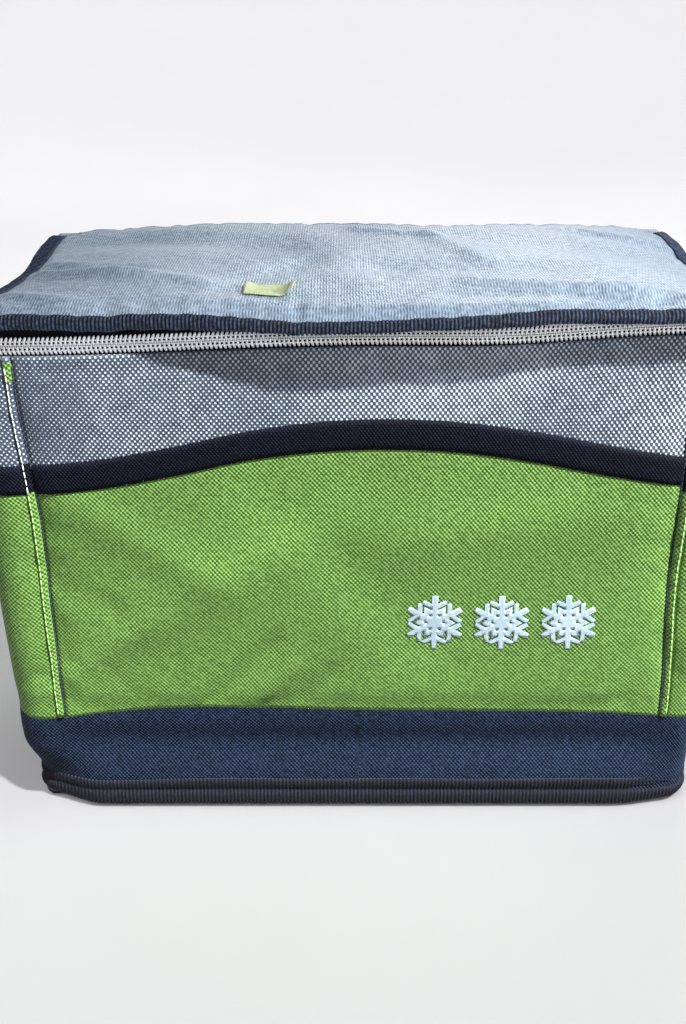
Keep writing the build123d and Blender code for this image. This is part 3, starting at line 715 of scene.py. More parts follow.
def ring_stations(step=STEP):
    return np.linspace(0, BODY.length, round(BODY.length / step), endpoint=False)


BASE_TOP_X = (-131, -110, -91, -69, -38, -7, 79, 106, 127, 140)
BASE_TOP_Z = (49.6, 52.4, 54.6, 55.5, 54.9, 53.8, 53.0, 52.2, 50.6, 49.6)


def base_top(s):
    """The base band's sewn top edge, which isn't quite level along the front."""
    x, y = np.moveaxis(BODY.at(s)[0], -1, 0)
    front = np.interp(x, np.array(BASE_TOP_X) * MM, np.array(BASE_TOP_Z) * MM)
    return np.where(y < FRONT + 2 * MM, front, BASE_TOP + 0.5 * MM * np.sin(31 * s))


def make_base():
    """The navy band round the foot, the ribbed tape that binds its edge, and the panel underneath."""
    def hem(s, t):
        return 0.5 * MM * (1 - t**14)

    band = wall_panel("base_band", ring_stations(), 3 * MM, base_top, 0.5 * MM, 1.0 * MM, [NAVY],
                      hem, wrap=True)
    finish_piece(band, "body")
    stations = ring_stations(FOOT_RIB_PITCH / 6)[:, None]
    heights = np.array([1.0, 1.7, 2.6, 4, 5.5, 7, 8.2, 9.2, 10, 10.8, 12, 13.5, 15, 15.6]) * MM
    bulge = np.array([-0.9, 0.1, 0.7, 1.1, 1.2, 1.1, 0.8, 0.2, -0.1, 0.2, 0.5, 0.5, 0.3, -0.3]) * MM
    ribbed_part = np.array([0.3, 0.7, 1, 1, 1, 1, 1, 0.5, 0.4, 0.9, 1, 1, 0.8, 0.3])
    inner_z = np.array([15.0, 8, 2.6, 1.0, 0.9, 0, 0]) * MM
    inner_out = np.array([-0.8, -0.9, -1.6, -3, -9, -9, -3]) * MM
    shape = np.r_[bulge, inner_out]
    rib_share = np.r_[ribbed_part, 0 * inner_z]
    x, y = np.moveaxis(BODY.at(stations)[0], -1, 0)
    ribs = 0.26 * MM * np.cos(2 * np.pi * stations / FOOT_RIB_PITCH)
    wander = 0.5 * MM * np.sin(23 * stations) + 0.4 * MM * np.sin(61 * stations + 1)
    height = np.r_[heights, inner_z]
    height = height + wander * ramp(height, 9, 14)
    corner = smooth((np.abs(x) - 122 * MM) / (22 * MM)) * ramp(height, 6, 11)
    out = shape - base_lean(x, y, height) + ribs * rib_share + 0.1 * MM - 0.5 * MM * corner
    run = np.cumsum(np.r_[0, np.hypot(np.diff(shape), np.diff(height[0]))])
    grid = beside(BODY, stations, out, height)
    binding = loop_solid("bottom_binding", grid, grid_of(stations, run), [FOOT_RIBS], wrap=True)
    finish_piece(binding, "body")
    low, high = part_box("base_panel")
    plan = Outline(high.x, low.y, high.y, CORNER_RADIUS - 4.5 * MM, CORNER_RADIUS - 4.5 * MM)
    panel = sheet_in_plan("base_panel", plan, 1 * MM, lambda x, y: 1.4 * MM + 0 * x, 0.5 * MM, [NAVY],
                          1 * MM)
    finish_piece(panel, "body")


# --- Walls and their overlays ------------------------------------------------------------------------
# The arch of the green front's top edge, in mm: place across and height.
ARCH_POINTS = ((-130, 156.5), (-102, 159.6), (-74, 165.0), (-44, 171.6), (-14, 175.4), (12, 176.2),
               (42, 174.6), (72, 170.3), (102, 164.6), (130, 160.0))


def arch(s):
    """Height of the green panels' top edge: the arch across the front, level round the sides."""
    turned = np.mod(s + BODY.length / 2, BODY.length) - BODY.length / 2
    known = np.array(ARCH_POINTS) * MM
    x = np.clip(turned, known[0, 0], known[-1, 0])
    i = np.clip(np.searchsorted(known[:, 0], x) - 1, 0, len(known) - 2)
    t = (x - known[i, 0]) / (known[i + 1, 0] - known[i, 0])
    slopes = np.gradient(known[:, 1], known[:, 0])
    gap = known[i + 1, 0] - known[i, 0]
    a, b = known[i, 1], known[i + 1, 1]
    cubic = (2 * t**3 - 3 * t**2 + 1) * a + (t**3 - 2 * t**2 + t) * gap * slopes[i]
    return cubic + (3 * t**2 - 2 * t**3) * b + (t**3 - t**2) * gap * slopes[i + 1]


def band_top(s):
    return arch(s) + BAND_HEIGHT


def under_base_band(s):
    return base_top(s) - 2 * MM


def stations_between(first, last, step=STEP):
    return np.linspace(first, last, max(2, round(abs(last - first) / step) + 1))


def make_overlays():
    """Green panel, woven band and mesh on the front and the sides."""
    def rolled(s, t):
        return 0.35 * MM * (1 - (2 * t - 1) ** 10)

    for side, first, last in side_runs(WELT_WIDTH):
        stations = stations_between(first, last)
        green = wall_panel(f"{side}_green_panel", stations, under_base_band, arch, OVERLAY_INSET,
                           OVERLAY_THICKNESS, [GREEN])
        finish_piece(green, "body")
        band = wall_panel(f"{side}_woven_band", stations, lambda s: arch(s) - 0.4 * MM, band_top,
                          OVERLAY_INSET - 0.35 * MM, OVERLAY_THICKNESS, [BAND], rolled)
        finish_piece(band, "body")
        mesh = wall_panel(f"{side}_mesh_panel", stations, lambda s: band_top(s) - 1 * MM, MESH_TOP,
                          OVERLAY_INSET, OVERLAY_THICKNESS, [MESH])
        finish_piece(mesh, "body")


def make_walls():
    """The silver-blue cloth behind the overlays, and the bare back."""
    for side, first, last in side_runs():
        panel = wall_panel(f"{side}_wall", stations_between(first, last, 2 * STEP), BASE_TOP - 12 * MM,
                           RIM - 0.3 * MM, WALL_INSET, WALL_THICKNESS, [SILVER])
        finish_piece(panel, "body")
    stations = stations_between(BACK_SEAM, BODY.length - BACK_SEAM)
    back = wall_panel("back_wall", stations, under_base_band, BACK_WALL_TOP, OVERLAY_INSET,
                      OVERLAY_THICKNESS, [SILVER])
    finish_piece(back, "body")


def make_foams():
    """The wall pads, filled out to the fabric outside and flat against the liner inside."""
    for side, first, last in (*side_runs(), ("back", BACK_SEAM, BODY.length - BACK_SEAM)):
        low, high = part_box(f"{side}_foam")
        stations = stations_between(first, last, 2 * STEP)
        s, z = np.meshgrid(stations, np.linspace(low.z, high.z, 60), indexing="ij")
        outer = wall(s, z, 4.4 * MM)
        outer[..., 2] = z
        foam = shell(f"{side}_foam", outer, beside(BODY, s, -10.4 * MM, z), grid_of(s, z), [FOAM])
        finish_piece(foam, "body")


def make_welts():
    """The sewn fold along each corner seam, the dark line beside it, and its topstitch."""
    threads = (("low", BASE_TOP + 2 * MM, 156 * MM, THREAD_GREEN),
               ("high", 158 * MM, RIM - 2 * MM, THREAD_PALE))

    def zone(centres):
        """Green low down, the band across it, and mesh above, with a green turned end on the front left."""
        height = centres[:, 2]
        turned = (height > 202 * MM) & (height < 209 * MM) & (centres[:, 0] < 0) & (centres[:, 1] < CENTRE_Y)
        return np.where((height < 156.5 * MM) | turned, 0, np.where(height < 168 * MM, 1, 2))

    def upward(s, z, inset):
        """Points on the wall and the way up from each."""
        s = np.full(z.shape, s)
        centres = wall(s, z, inset)
        return centres, wall(s, z + 1 * MM, inset) - centres

    for end, seam in (("front", FRONT_SEAM), ("back", BACK_SEAM - WELT_WIDTH)):
        for side, sign in (("left", -1), ("right", 1)):
            ends = sorted((sign * (seam + 0.3 * MM), sign * (seam + WELT_WIDTH)))
            middle = sum(ends) / 2

            def fold(s, t):
                across = (s - middle) / (WELT_WIDTH / 2 + 0.1 * MM)
                return 1.5 * MM * np.sqrt(np.maximum(1 - across**2, 0)) + 0.12 * MM * np.sin(t * 95)

            name = f"{end}_{side}_seam"
            welt = wall_panel(f"{name}_welt", np.linspace(*ends, 9), BASE_TOP - 1 * MM, MESH_TOP,
                              0.7 * MM, 0.5 * MM, [GREEN, BAND, MESH], fold, face_material=zone)
            finish_piece(welt, "body")
            z = np.arange(BASE_TOP + 2 * MM, RIM, 2.4 * MM)
            edge = sign * (FRONT_SEAM if end == "front" else BACK_SEAM)
            sew_rods(f"{name}_line", *upward(edge, z, 0.1 * MM), 1.5 * MM, 0.4 * MM, THREAD_DARK,
                     "green_fabric")
            for tag, low, high, thread in threads:
                run = upward(middle + sign * 0.8 * MM, np.arange(low, high, 3.2 * MM), -0.75 * MM)
                sew_rods(f"{name}_thread_{tag}", *run, 1.45 * MM, 0.26 * MM, thread, "green_fabric")


# --- Snowflake prints ---------------------------------------------------------------------------------
FLAKE_RADIUS = 13 * MM
FLAKE_PITCH = 28.5 * MM
FLAKE_SHIFT = 0.7 * MM
STAR_TIP = (0.585, 0.338)
ARM_EDGE = ((0.46, 0.115), (0.535, 0.095), (0.71, 0.42), (0.83, 0.35), (0.70, 0.095), (1.0, 0.095))


def flake_outline():
    """One snowflake's edge, six forked arms with a star's points between them, and six small holes."""
    def turned(outline, degrees):
        c, s = math.cos(math.radians(degrees)), math.sin(math.radians(degrees))
        return [(x * c - y * s, x * s + y * c) for x, y in outline]

    side = [STAR_TIP, *ARM_EDGE]
    arm = [(x, -y) for x, y in side] + list(reversed(side))[:-1]
    hole = [(0.3 + 0.055 * math.cos(a), 0.04 * math.sin(a)) for a in np.arange(8) * math.pi / 4]
    points = [point for number in range(6) for point in turned(arm, 30 + 60 * number)]
    return points, [turned(hole, 60 * number) for number in range(6)]


def within(points, ring):
    """Which of the points lie inside a closed outline."""
    ring = np.array(ring)
    ahead = np.roll(ring, -1, 0)
    x, y = points[:, None, 0], points[:, None, 1]
    spans = (ring[:, 1] > y) != (ahead[:, 1] > y)
    rise = np.where(ring[:, 1] == ahead[:, 1], 1, ahead[:, 1] - ring[:, 1])
    crossing = ring[:, 0] + (y - ring[:, 1]) * (ahead[:, 0] - ring[:, 0]) / rise
    return (spans & (x < crossing)).sum(1) % 2 == 1


def flake_pattern():
    """One flat snowflake as points and small triangles."""
    outline, holes = flake_outline()
    grid = np.arange(-0.95, 1, 0.1)
    spread = np.stack(np.meshgrid(grid, grid), -1).reshape(-1, 2)
    corners, edges = [], []
    for ring in (outline, *holes):
        first = len(corners)
        corners += ring
        edges += [(first + i, first + (i + 1) % len(ring)) for i in range(len(ring))]
    found = delaunay_2d_cdt([Vector(p) for p in [*corners, *spread.tolist()]], edges, [], 0, 1e-5)
    points, triangles = np.array(found[0]), np.array(found[2])
    middles = points[triangles].mean(1)
    kept = within(middles, outline)
    for hole in holes:
        kept &= ~within(middles, hole)
    used, triangles = np.unique(triangles[kept], return_inverse=True)
    return points[used] * FLAKE_RADIUS, triangles.reshape(-1, 3)


def make_prints():
    """Three thin snowflakes that lie on the front panel's settled surface."""
    pattern, triangles = flake_pattern()
    low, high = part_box("snowflake_prints")
    parts = []
    for number in (-1, 0, 1):
        s = pattern[:, 0] + (low.x + high.x) / 2 + FLAKE_SHIFT + number * FLAKE_PITCH
        z = pattern[:, 1] + (low.z + high.z) / 2
        front = wall(s, z, OVERLAY_INSET - 0.22 * MM)
        rear = wall(s, z, OVERLAY_INSET + 0.05 * MM)
        count = len(pattern)
        uses = {(a, b) for face in triangles.tolist() for a, b in zip(face, face[1:] + face[:1])}
        sides = [[a, a + count, b + count, b] for a, b in sorted(uses) if (b, a) not in uses]
        faces = [*triangles.tolist(), *(triangles[:, ::-1] + count).tolist(), *sides]
        parts.append((np.concatenate([front, rear]), faces))
    prints = new_object("snowflake_prints", *merge(parts), [PRINT])
    finish_piece(prints, "body")


# --- Zip ------------------------------------------------------------------------------------------------
def side_station(y):
    """The station on the right side at a distance from front to back."""
    return BODY.side_start + y - (FRONT + CORNER_RADIUS)


def side_stretch(sign, first, last, step):
    """A column of stations along the right side, or mirrored to the left, in rising order."""
    stations = sign * stations_between(first, last, step)
    return stations[::sign, None]


def coil_half(stations, sign):
    """One row of coil: slanted prongs, the rungs that they close on, and two cords along their heads."""
    def at(s, height, proud):
        return beside(BODY, s, proud - CHAIN_INSET, CHAIN_Z + rim_lift(s) + sign * height)

    slant = 0.55 * MM
    outer = at(stations + slant, 3.2 * MM, 0.3 * MM)
    inner = at(stations - slant * 0.4, 1.3 * MM, 0.75 * MM)
    half = np.linalg.norm(outer - inner, axis=1) / 2 + 0.25 * MM
    prongs = capsules((outer + inner) / 2, outer - inner, half, 0.54 * MM, sides=7, rings=6)
    low, high = at(stations, 0.15 * MM, 0.75 * MM), at(stations, 1.7 * MM, 0.75 * MM)
    parts = [prongs, capsules((low + high) / 2, high - low, 0.95 * MM, 0.46 * MM)]
    fine = np.linspace(stations[0], stations[-1], len(stations) * 2)
    for height, radius in ((0.42 * MM, 0.42 * MM), (1.75 * MM, 0.4 * MM)):
        line = at(fine, height, 0.8 * MM)
        half = np.linalg.norm(line[1:] - line[:-1], axis=1) * 0.62
        parts.append(capsules((line[:-1] + line[1:]) / 2, line[1:] - line[:-1], half, radius, rings=3))
    return merge(parts)


def make_zip():
    """Both rows of the chain, the tail behind the lid's row, both tapes and the tabs at the ends."""
    rear, lid_end = side_station(ZIP_REAR), side_station(ZIP_LID_END)
    runs = (("zip_lower_coil", "body", -1, -rear, rear), ("zip_upper_coil", "lid", 1, -rear, lid_end),
            ("zip_tail_coil", "body", 1, lid_end + TOOTH_PITCH, rear))
    for name, body, sign, first, last in runs:
        stations = np.arange(first, last, TOOTH_PITCH) + (TOOTH_PITCH / 2 if sign > 0 else 0)
        coil = new_object(name, *coil_half(stations, sign), [COIL])
        finish_piece(coil, body)
    rows = np.linspace(0, 1, 6)
    tapes = (("zip_lower_tape", "body", rear, 204 * MM, CHAIN_LOW + 3.2 * MM, np.ones(6)),
             ("zip_upper_tape", "lid", lid_end, CHAIN_HIGH - 3.2 * MM, LID_UNDER - 0.4 * MM, 1 - rows))
    for name, body, last, low, high, follows in tapes:
        stations = stations_between(-rear, last)[:, None]
        z = low + (high - low) * rows + rim_lift(stations) * follows
        layers = [beside(BODY, stations, proud - CHAIN_INSET, z) for proud in (0.1 * MM, -0.4 * MM)]
        tape = shell(name, *layers, grid_of(stations, z), [TAPE])
        finish_piece(tape, body)
    for side, sign in (("left", -1), ("right", 1)):
        low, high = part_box(f"{side}_zip_end_tab")
        stations = side_stretch(sign, side_station(low.y), side_station(high.y) + 1 * MM, 0.8 * MM)
        rows = np.linspace(0, 1, 12)
        z = low.z + (high.z - low.z) * rows
        across = np.linspace(-1, 1, len(stations))[:, None]
        swell = 0.5 * MM + 1.1 * MM * (1 - across**6) * (1 - (2 * rows - 1) ** 6)
        layers = [beside(BODY, stations, way * swell - CHAIN_INSET, z) for way in (1, -1)]
        tab = shell(f"{side}_zip_end_tab", *layers, grid_of(stations, z), [TAPE])
        finish_piece(tab, "body")


# --- Lid ---------------------------------------------------------------------------------------------------
LID_DEPTH = LID.back - LID.front
HINGE_HEM = 206 * MM

# Creases of the lid, in mm: where each starts and ends (across, back), its width and its height.
LID_CREASES = (
    ((-136, -13), (-66, -43), 5, 1.5),
    ((-133, 5), (-96, -28), 6, 1.1),
    ((-128, -6), (-92, -20), 4, -0.9),
    ((-112, 40), (-50, 22), 15, -1.9),
    ((46, -44), (96, -60), 5, 1.5),
    ((96, -60), (132, -70), 5, 1.3),
    ((40, -58), (110, -68), 5, -0.9),
    ((2, 51), (34, 37), 5, 1.2),
    ((34, 37), (50, -4), 6, 1.3),
    ((60, 30), (108, 6), 14, -1.3),
    ((-40, -32), (-24, -12), 8, -1.3),
    ((-20, 30), (-2, -40), 12, 0.9),
    ((-146, -50), (-118, -62), 5, 1.1),
    ((104, 50), (140, 36), 6, 0.9),
    ((110, 40), (142, 22), 5, -0.8),
    ((-60, -66), (20, -70), 6, 0.8),
    ((0, -20), (70, -28), 10, -0.9),
)

# The lid's front edge, from left to right: place across, height, and how far it juts out over the zip.
EDGE_X = (-152, -132, -95, -85, -63, -45, -26, -8, 10, 19, 31, 50, 71, 93, 117, 140, 153)
EDGE_Z = (226.4, 226.7, 225.9, 227.0, 227.3, 226.7, 225.5, 225.3, 225.4, 226.0, 226.7, 227.9, 229.4, 229.5,
          230.0, 229.7, 228.4)
EDGE_OUT = (2, 2, 2.4, 2.8, 5, 6.8, 8.2, 8.4, 8.2, 7.8, 8, 7.6, 6.8, 6.2, 5.8, 5.2, 4.4)


def lid_place(x, y, z):
    """The lid's outline as it hangs: its front bows out over the zip and its sides draw in."""
    over = np.interp(x, np.array(EDGE_X) * MM, np.array(EDGE_OUT) * MM)
    ahead = smooth(1 - (y - LID.front) / (60 * MM)) * (over - (FRONT - LID.front))
    draw = np.where(x < 0, 4.2, 4.0) * MM * hill(y, 2 * MM, 34 * MM) * (x / LID.half_width) ** 3
    return np.stack([x - draw, y - ahead, z], -1)


def lid_top(x, y):
    """Height of the lid's outer face."""
    v = np.clip((y - LID.front) / LID_DEPTH, 0, 1)
    front = np.interp(x, np.array(EDGE_X) * MM, np.array(EDGE_Z) * MM)
    sag_left, sag_right = ramp(-x, 70, 150), ramp(x, 90, 150)
    back = 232.4 * MM - 3.2 * MM * sag_left - 1.2 * MM * sag_right
    height = front + (back - front) * (1 - (1 - v) ** 2.2)
    side = 4.4 * MM * ramp(-x, 88, 152) + 3.6 * MM * ramp(x, 100, 153)
    height = height - side * np.sin(np.pi * v) ** 1.2
    padded_edge = smooth((LID.half_width - np.abs(x)) / (16 * MM)) * smooth((y - LID.front) / (12 * MM))
    folds = 1.5 * sample(relief_lid, (x / LID.half_width + 1) / 2, v)
    folds = folds + creases(x, y, LID_CREASES, 1.3)
    return height + folds * (0.25 + 0.75 * padded_edge) * smooth((LID.back - y) / (8 * MM))


def lid_underside(x, y):
    """Height of the lid's inner face, faintly quilted and clear of the outer one."""
    quilt = 0.25 * MM * np.sin(x * 60 + 1) * np.sin(y * 80)
    return np.minimum(LID_UNDER + 0.5 * MM + quilt, lid_top(x, y) - 3.4 * MM)


def make_lid_panel():
    """The outer fabric and the foam that fills it out."""
    front = LID.front + 3 * MM
    rows = np.linspace(0, 1, round((LID.back - front) / STEP) + 1)
    y_rows = front + (LID.back - 1 * MM - front) * rows
    columns = round(2 * LID.half_width / STEP) + 1
    u = np.linspace(-1, 1, columns)[:, None]
    half = LID.half_width_at(np.clip(y_rows, LID.front + 1 * MM, LID.back - 4 * MM)) - 3 * MM
    x = u * half[None, :]
    y = np.repeat(y_rows[None, :], columns, 0)
    z, uv = lid_top(x, y), grid_of(x, y)
    panel = shell("lid_outer_panel", lid_place(x, y, z), lid_place(x, y, z - 0.8 * MM), uv, [SILVER])
    finish_piece(panel, "lid")
    x, y = x * 0.97, front + (y - front) * 0.96 + 3 * MM
    top, under = lid_top(x, y) - 1.0 * MM, lid_underside(x, y) + 0.1 * MM
    foam = shell("lid_foam", lid_place(x, y, top), lid_place(x, y, under), uv, [FOAM])
    finish_piece(foam, "lid")


def make_hinge():
    """The same fabric folded over the back edge, between the body and the lid."""
    half = SEAM + 8 * MM
    x = np.linspace(-half, half, round(2 * half / STEP) + 1)[:, None]
    crest = LID.back - 1.5 * MM
    radius = HINGE.y - crest
    edge = lid_top(x, np.full(x.shape, crest))
    over = np.linspace(crest - 7.5 * MM, crest, 10)
    tucked = 0.35 * MM - 1.2 * MM * np.maximum(1 - np.arange(len(over)) / 2, 0)
    on_lid = grid_of(x, over, lid_top(*np.broadcast_arrays(x, over)) + tucked)
    bend = np.linspace(0, math.pi / 2, 8)[1:]
    folded = grid_of(x, crest + radius * np.sin(bend), edge + 0.35 * MM + radius * (np.cos(bend) - 1))
    down = np.linspace(0, 1, 14)[1:]
    z = (edge - radius) * (1 - down) + HINGE_HEM * down
    on_wall = wall(BODY.length / 2 - x, z, OVERLAY_INSET - 0.9 * MM)
    hanging = grid_of(x, HINGE.y + (on_wall[..., 1] - HINGE.y) * smooth(down * 1.6), z)
    points = np.concatenate([on_lid, folded, hanging], 1)
    tangent = np.gradient(points, axis=1)
    normal = np.stack([0 * tangent[..., 0], -tangent[..., 2], tangent[..., 1]], -1)
    normal /= np.linalg.norm(normal, axis=-1, keepdims=True)
    run = np.arange(points.shape[1]) * 2 * MM
    strip = shell("lid_hinge_strip", points, points - normal * 0.6 * MM, grid_of(points[..., 0], run),
                  [SILVER])
    finish_piece(strip, None)
    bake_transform(strip)
    stitch_x = np.arange(-half + 4 * MM, half - 3 * MM, 4 * MM)
    s, z = BODY.length / 2 - stitch_x, np.full(stitch_x.shape, HINGE_HEM + 2 * MM)
    sew_rods("hinge_stitches", wall(s, z, OVERLAY_INSET - 1.0 * MM), np.tile([1.0, 0, 0], (len(s), 1)),
             1.4 * MM, 0.25 * MM, THREAD_DARK, "silver_blue_fabric")


def make_lid_binding():
    """Ribbed tape folded round the lid's front and side edges."""
    end = LID.side_end + 4 * MM
    stations = np.linspace(-end, end, round(2 * end / (RIB_PITCH / 6)))
    point, normal = LID.at(stations)
    x, y = point[:, 0], point[:, 1]
    toward_front = smooth((LID.front + 34 * MM - y) / (26 * MM))
    width = np.where(x < 0, 10, 7.5) * MM
    width = width + (3.6 * MM - width) * toward_front
    nose = np.full(width.shape, 2.4 * MM)
    ribs = 0.17 * MM * np.cos(2 * np.pi * (stations / RIB_PITCH))
    edge_top = lid_top(x - normal[:, 0] * 3 * MM, y - normal[:, 1] * 3 * MM) + 0.3 * MM
    leg_top = lid_top(x - normal[:, 0] * width, y - normal[:, 1] * width) + 0.5 * MM
    depth = np.interp(x, np.array((-60, -20, 20, 60)) * MM, np.array((5.2, 3.8, 3.8, 4.8)) * MM)
    bottom = edge_top - depth
    rear_guard = smooth((y - np.where(x > 0, FRONT + 8 * MM, 30 * MM)) / (20 * MM))
    bottom = bottom * (1 - rear_guard) + np.maximum(bottom, LID_UNDER + 0.1 * MM) * rear_guard
    middle, radius = (edge_top + bottom) / 2, (edge_top - bottom) / 2
    section = [(-width * (1 - share) - nose * share, leg_top * (1 - share) + edge_top * share + ribs)
               for share in np.linspace(0, 1, 5)]
    section += [(-nose + (nose + ribs) * math.cos(angle), middle + (radius + ribs) * math.sin(angle))
                for angle in np.linspace(math.pi / 2, -math.pi / 2, 11)[1:-1]]
    section += [(-nose * (1 - share) - width * share, bottom) for share in np.linspace(0, 1, 4)]
    section += [(-width, bottom + 0.7 * MM), (-nose, middle + 0.3 * MM), (-width, leg_top - 0.7 * MM)]
    out, z = (np.stack(rows, 1) for rows in zip(*section))
    grid = beside(LID, stations[:, None], out, z)
    uv = grid_of(stations[:, None], np.linspace(0, 24 * MM, len(section)))
    binding = loop_solid("lid_binding", lid_place(*np.moveaxis(grid, -1, 0)), uv, [RIBS])
    finish_piece(binding, "lid")


def make_lid_inside():
    """The film under the lid."""
    liner = sheet_in_plan("lid_liner", LID, 4 * MM, lid_underside, 0.5 * MM, [LINER], 1 * MM)
    finish_piece(liner, "lid")


def make_lid_tab():
    """A lime ribbon sewn to the lid, its right end curled up."""
    low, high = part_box("lid_green_tab")
    length, width = high.x - low.x, 12.5 * MM
    columns, rows = 40, 12
    t, w = np.meshgrid(np.linspace(0, 1, columns), np.linspace(0, 1, rows), indexing="ij")
    x = low.x + length * t
    y = (low.y + high.y) / 2 + width * (w - 0.5) + 2.5 * MM * (t - 0.5) ** 2
    curl = 4.2 * MM * smooth((t - 0.62) / 0.38) ** 1.5 * (0.35 + 0.65 * (1 - w))
    curl = curl + 1.3 * MM * smooth((0.25 - t) / 0.25) * w
    base = lid_top(np.full(x.shape, (low.x + high.x) / 2), np.full(x.shape, (low.y + high.y) / 2))
    x = x - 1.8 * MM * smooth((t - 0.7) / 0.3)
    z = np.maximum(lid_top(x, y) + 0.5 * MM, 0.5 * base + 0.5 * lid_top(x, y)) + curl + 0.4 * MM
    upper = lid_place(x, y, z)
    tab = shell("lid_green_tab", upper, upper - np.array([0, 0, 0.35 * MM]), np.stack([x, y], -1),
                [LIME, LIME_UNDER])
    count = (columns - 1) * (rows - 1)
    chosen = np.zeros(len(tab.data.polygons), int)
    chosen[count:2 * count] = 1
    tab.data.polygons.foreach_set("material_index", chosen)
    finish_piece(tab, "lid")


# --- Inside ----------------------------------------------------------------------------------------------
def make_liner():
    """The heat-welded tub, with soft wrinkles in its walls."""
    outline = Outline(LINER_HIGH.x, LINER_LOW.y, LINER_HIGH.y, 2.4 * MM, 2.4 * MM)
    stations = np.linspace(0, outline.length, round(outline.length / (3 * MM)), endpoint=False)
    heights = np.linspace(LINER_LOW.z, LINER_HIGH.z, 66)
    s, z = np.meshgrid(stations, heights, indexing="ij")
    wrinkle = 0.5 * MM * (np.sin(70 * s + 90 * z) + np.sin(33 * s - 140 * z + 1) + np.sin(190 * z + 9 * s))
    wrinkle *= smooth((z - LINER_LOW.z) / (20 * MM)) * smooth((LINER_HIGH.z - z) / (16 * MM)) * 0.6
    outer, inner = (beside(outline, s, -(inset + np.abs(wrinkle)), z) for inset in (0.1 * MM, 0.6 * MM))
    sides = shell("inner_liner", outer, inner, grid_of(s, z), [LINER], wrap=True)
    finish_piece(sides, "body")
    floor_plan = Outline(LINER_HIGH.x - 0.2 * MM, LINER_LOW.y + 0.2 * MM, LINER_HIGH.y - 0.2 * MM,
                         2.2 * MM, 2.2 * MM)

    def ripple(x, y):
        return LINER_LOW.z + 0.8 * MM + 0.4 * MM * np.sin(50 * x + 2) * np.sin(70 * y)

    floor = sheet_in_plan("inner_liner_floor", floor_plan, 0, ripple, 0.5 * MM, [LINER])
    finish_piece(floor, "body")


def make_rim_binding():
    """The tape folded over the foam and liner at the mouth."""
    low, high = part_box("rim_binding")
    inset, inner = HALF_WIDTH - high.x, 12.2 * MM
    centre, half = (inset + inner) / 2, (inner - inset) / 2
    foot, thin = low.z - high.z, half - 0.5 * MM
    angle = np.linspace(0, math.pi, 13)
    profile = [(-half, foot), *((-half * math.cos(a), 1.5 * MM * math.sin(a) - 1.5 * MM) for a in angle)]
    profile += [(half, foot), (thin, foot)]
    profile += [(thin * math.cos(a), 1.1 * MM * math.sin(a) - 1.7 * MM) for a in angle]
    profile = np.array([*profile, (-thin, foot)])
    stations = ring_stations()[:, None]
    grid = beside(BODY, stations, -(centre + profile[:, 0]), high.z + profile[:, 1])
    run = np.cumsum(np.r_[0, np.hypot(*np.diff(profile, axis=0).T)])
    binding = loop_solid("rim_binding", grid, grid_of(stations, run), [BAND], wrap=True)
    finish_piece(binding, "body")


def make_gussets():
    """The cloth that closes each rear corner between the zip's end and the hinge."""
    for side, sign in (("left", -1), ("right", 1)):
        first, last = side_station(ZIP_REAR + 5 * MM), BODY.back_start + 6 * MM
        stations = side_stretch(sign, first, last, 1 * MM)
        z = np.linspace(BACK_WALL_TOP, LID_UNDER - 0.6 * MM, 12)
        layers = [beside(BODY, stations, -inset, z) for inset in (1.3 * MM, 2.0 * MM)]
        gusset = shell(f"{side}_rear_gusset", *layers, grid_of(stations, z), [SILVER])
        finish_piece(gusset, "body")


# --- Strap rings ---------------------------------------------------------------------------------------
def make_ring_tabs():
    """Webbing folded round each ring and sewn to the side."""
    face = HALF_WIDTH + 0.1 * MM
    for side, sign in (("left", -1), ("right", 1)):
        low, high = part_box(f"{side}_ring_tab")
        centre_x, centre_z = face + 3.1 * MM, low.z + 3.1 * MM
        line = [(face + 2.1 * MM, z) for z in np.linspace(high.z, centre_z + 3.4 * MM, 12)]
        line += [(centre_x + 2.65 * MM * math.cos(angle), centre_z + 2.65 * MM * math.sin(angle))
                 for angle in np.linspace(math.radians(65), -math.radians(205), 22)]
        line += [(face + 0.65 * MM, z) for z in np.linspace(centre_z + 2.4 * MM, high.z, 12)]
        line = np.array(line)
        tangent = np.gradient(line, axis=0)
        tangent /= np.linalg.norm(tangent, axis=1, keepdims=True)
        width = high.y - low.y
        across = np.linspace(-0.5, 0.5, 33)
        layers = []
        for way in (0.4 * MM, -0.4 * MM):
            proud = way * (1 - np.abs(2 * across) ** 12)
            x = line[:, 0, None] + tangent[:, 1, None] * proud
            z = line[:, 1, None] - tangent[:, 0, None] * proud
            layers.append(grid_of(sign * x, CENTRE_Y + width * across, z))
        if sign > 0:
            layers.reverse()
        run = np.cumsum(np.r_[0, np.hypot(*np.diff(line, axis=0).T)])
        tab = shell(f"{side}_ring_tab", *layers, grid_of(run[:, None], across * width), [WEBBING])
        finish_piece(tab, "body")
        top, bottom = high.z - 2 * MM, centre_z + 8 * MM
        left, right = CENTRE_Y - width / 2 + 2 * MM, CENTRE_Y + width / 2 - 2 * MM
        box = [(left, top), (right, top), (right, bottom), (left, bottom), (left, top)]
        legs = [*zip(box, box[1:]), (box[0], box[2]), (box[1], box[3])]
        centres, ways = [], []
        for (y0, z0), (y1, z1) in legs:
            count = max(2, round(math.hypot(y1 - y0, z1 - z0) / (2.6 * MM)))
            t = (np.arange(count) + 0.5) / count
            centres.append(grid_of(sign * (face + 2.5 * MM), y0 + (y1 - y0) * t, z0 + (z1 - z0) * t))
            ways.append(np.tile([0, y1 - y0, z1 - z0], (count, 1)))
        sew_rods(f"{side}_ring_tab_stitches", np.concatenate(centres), np.concatenate(ways), 1.05 * MM,
                 0.2 * MM, THREAD_DARK, "navy_webbing")


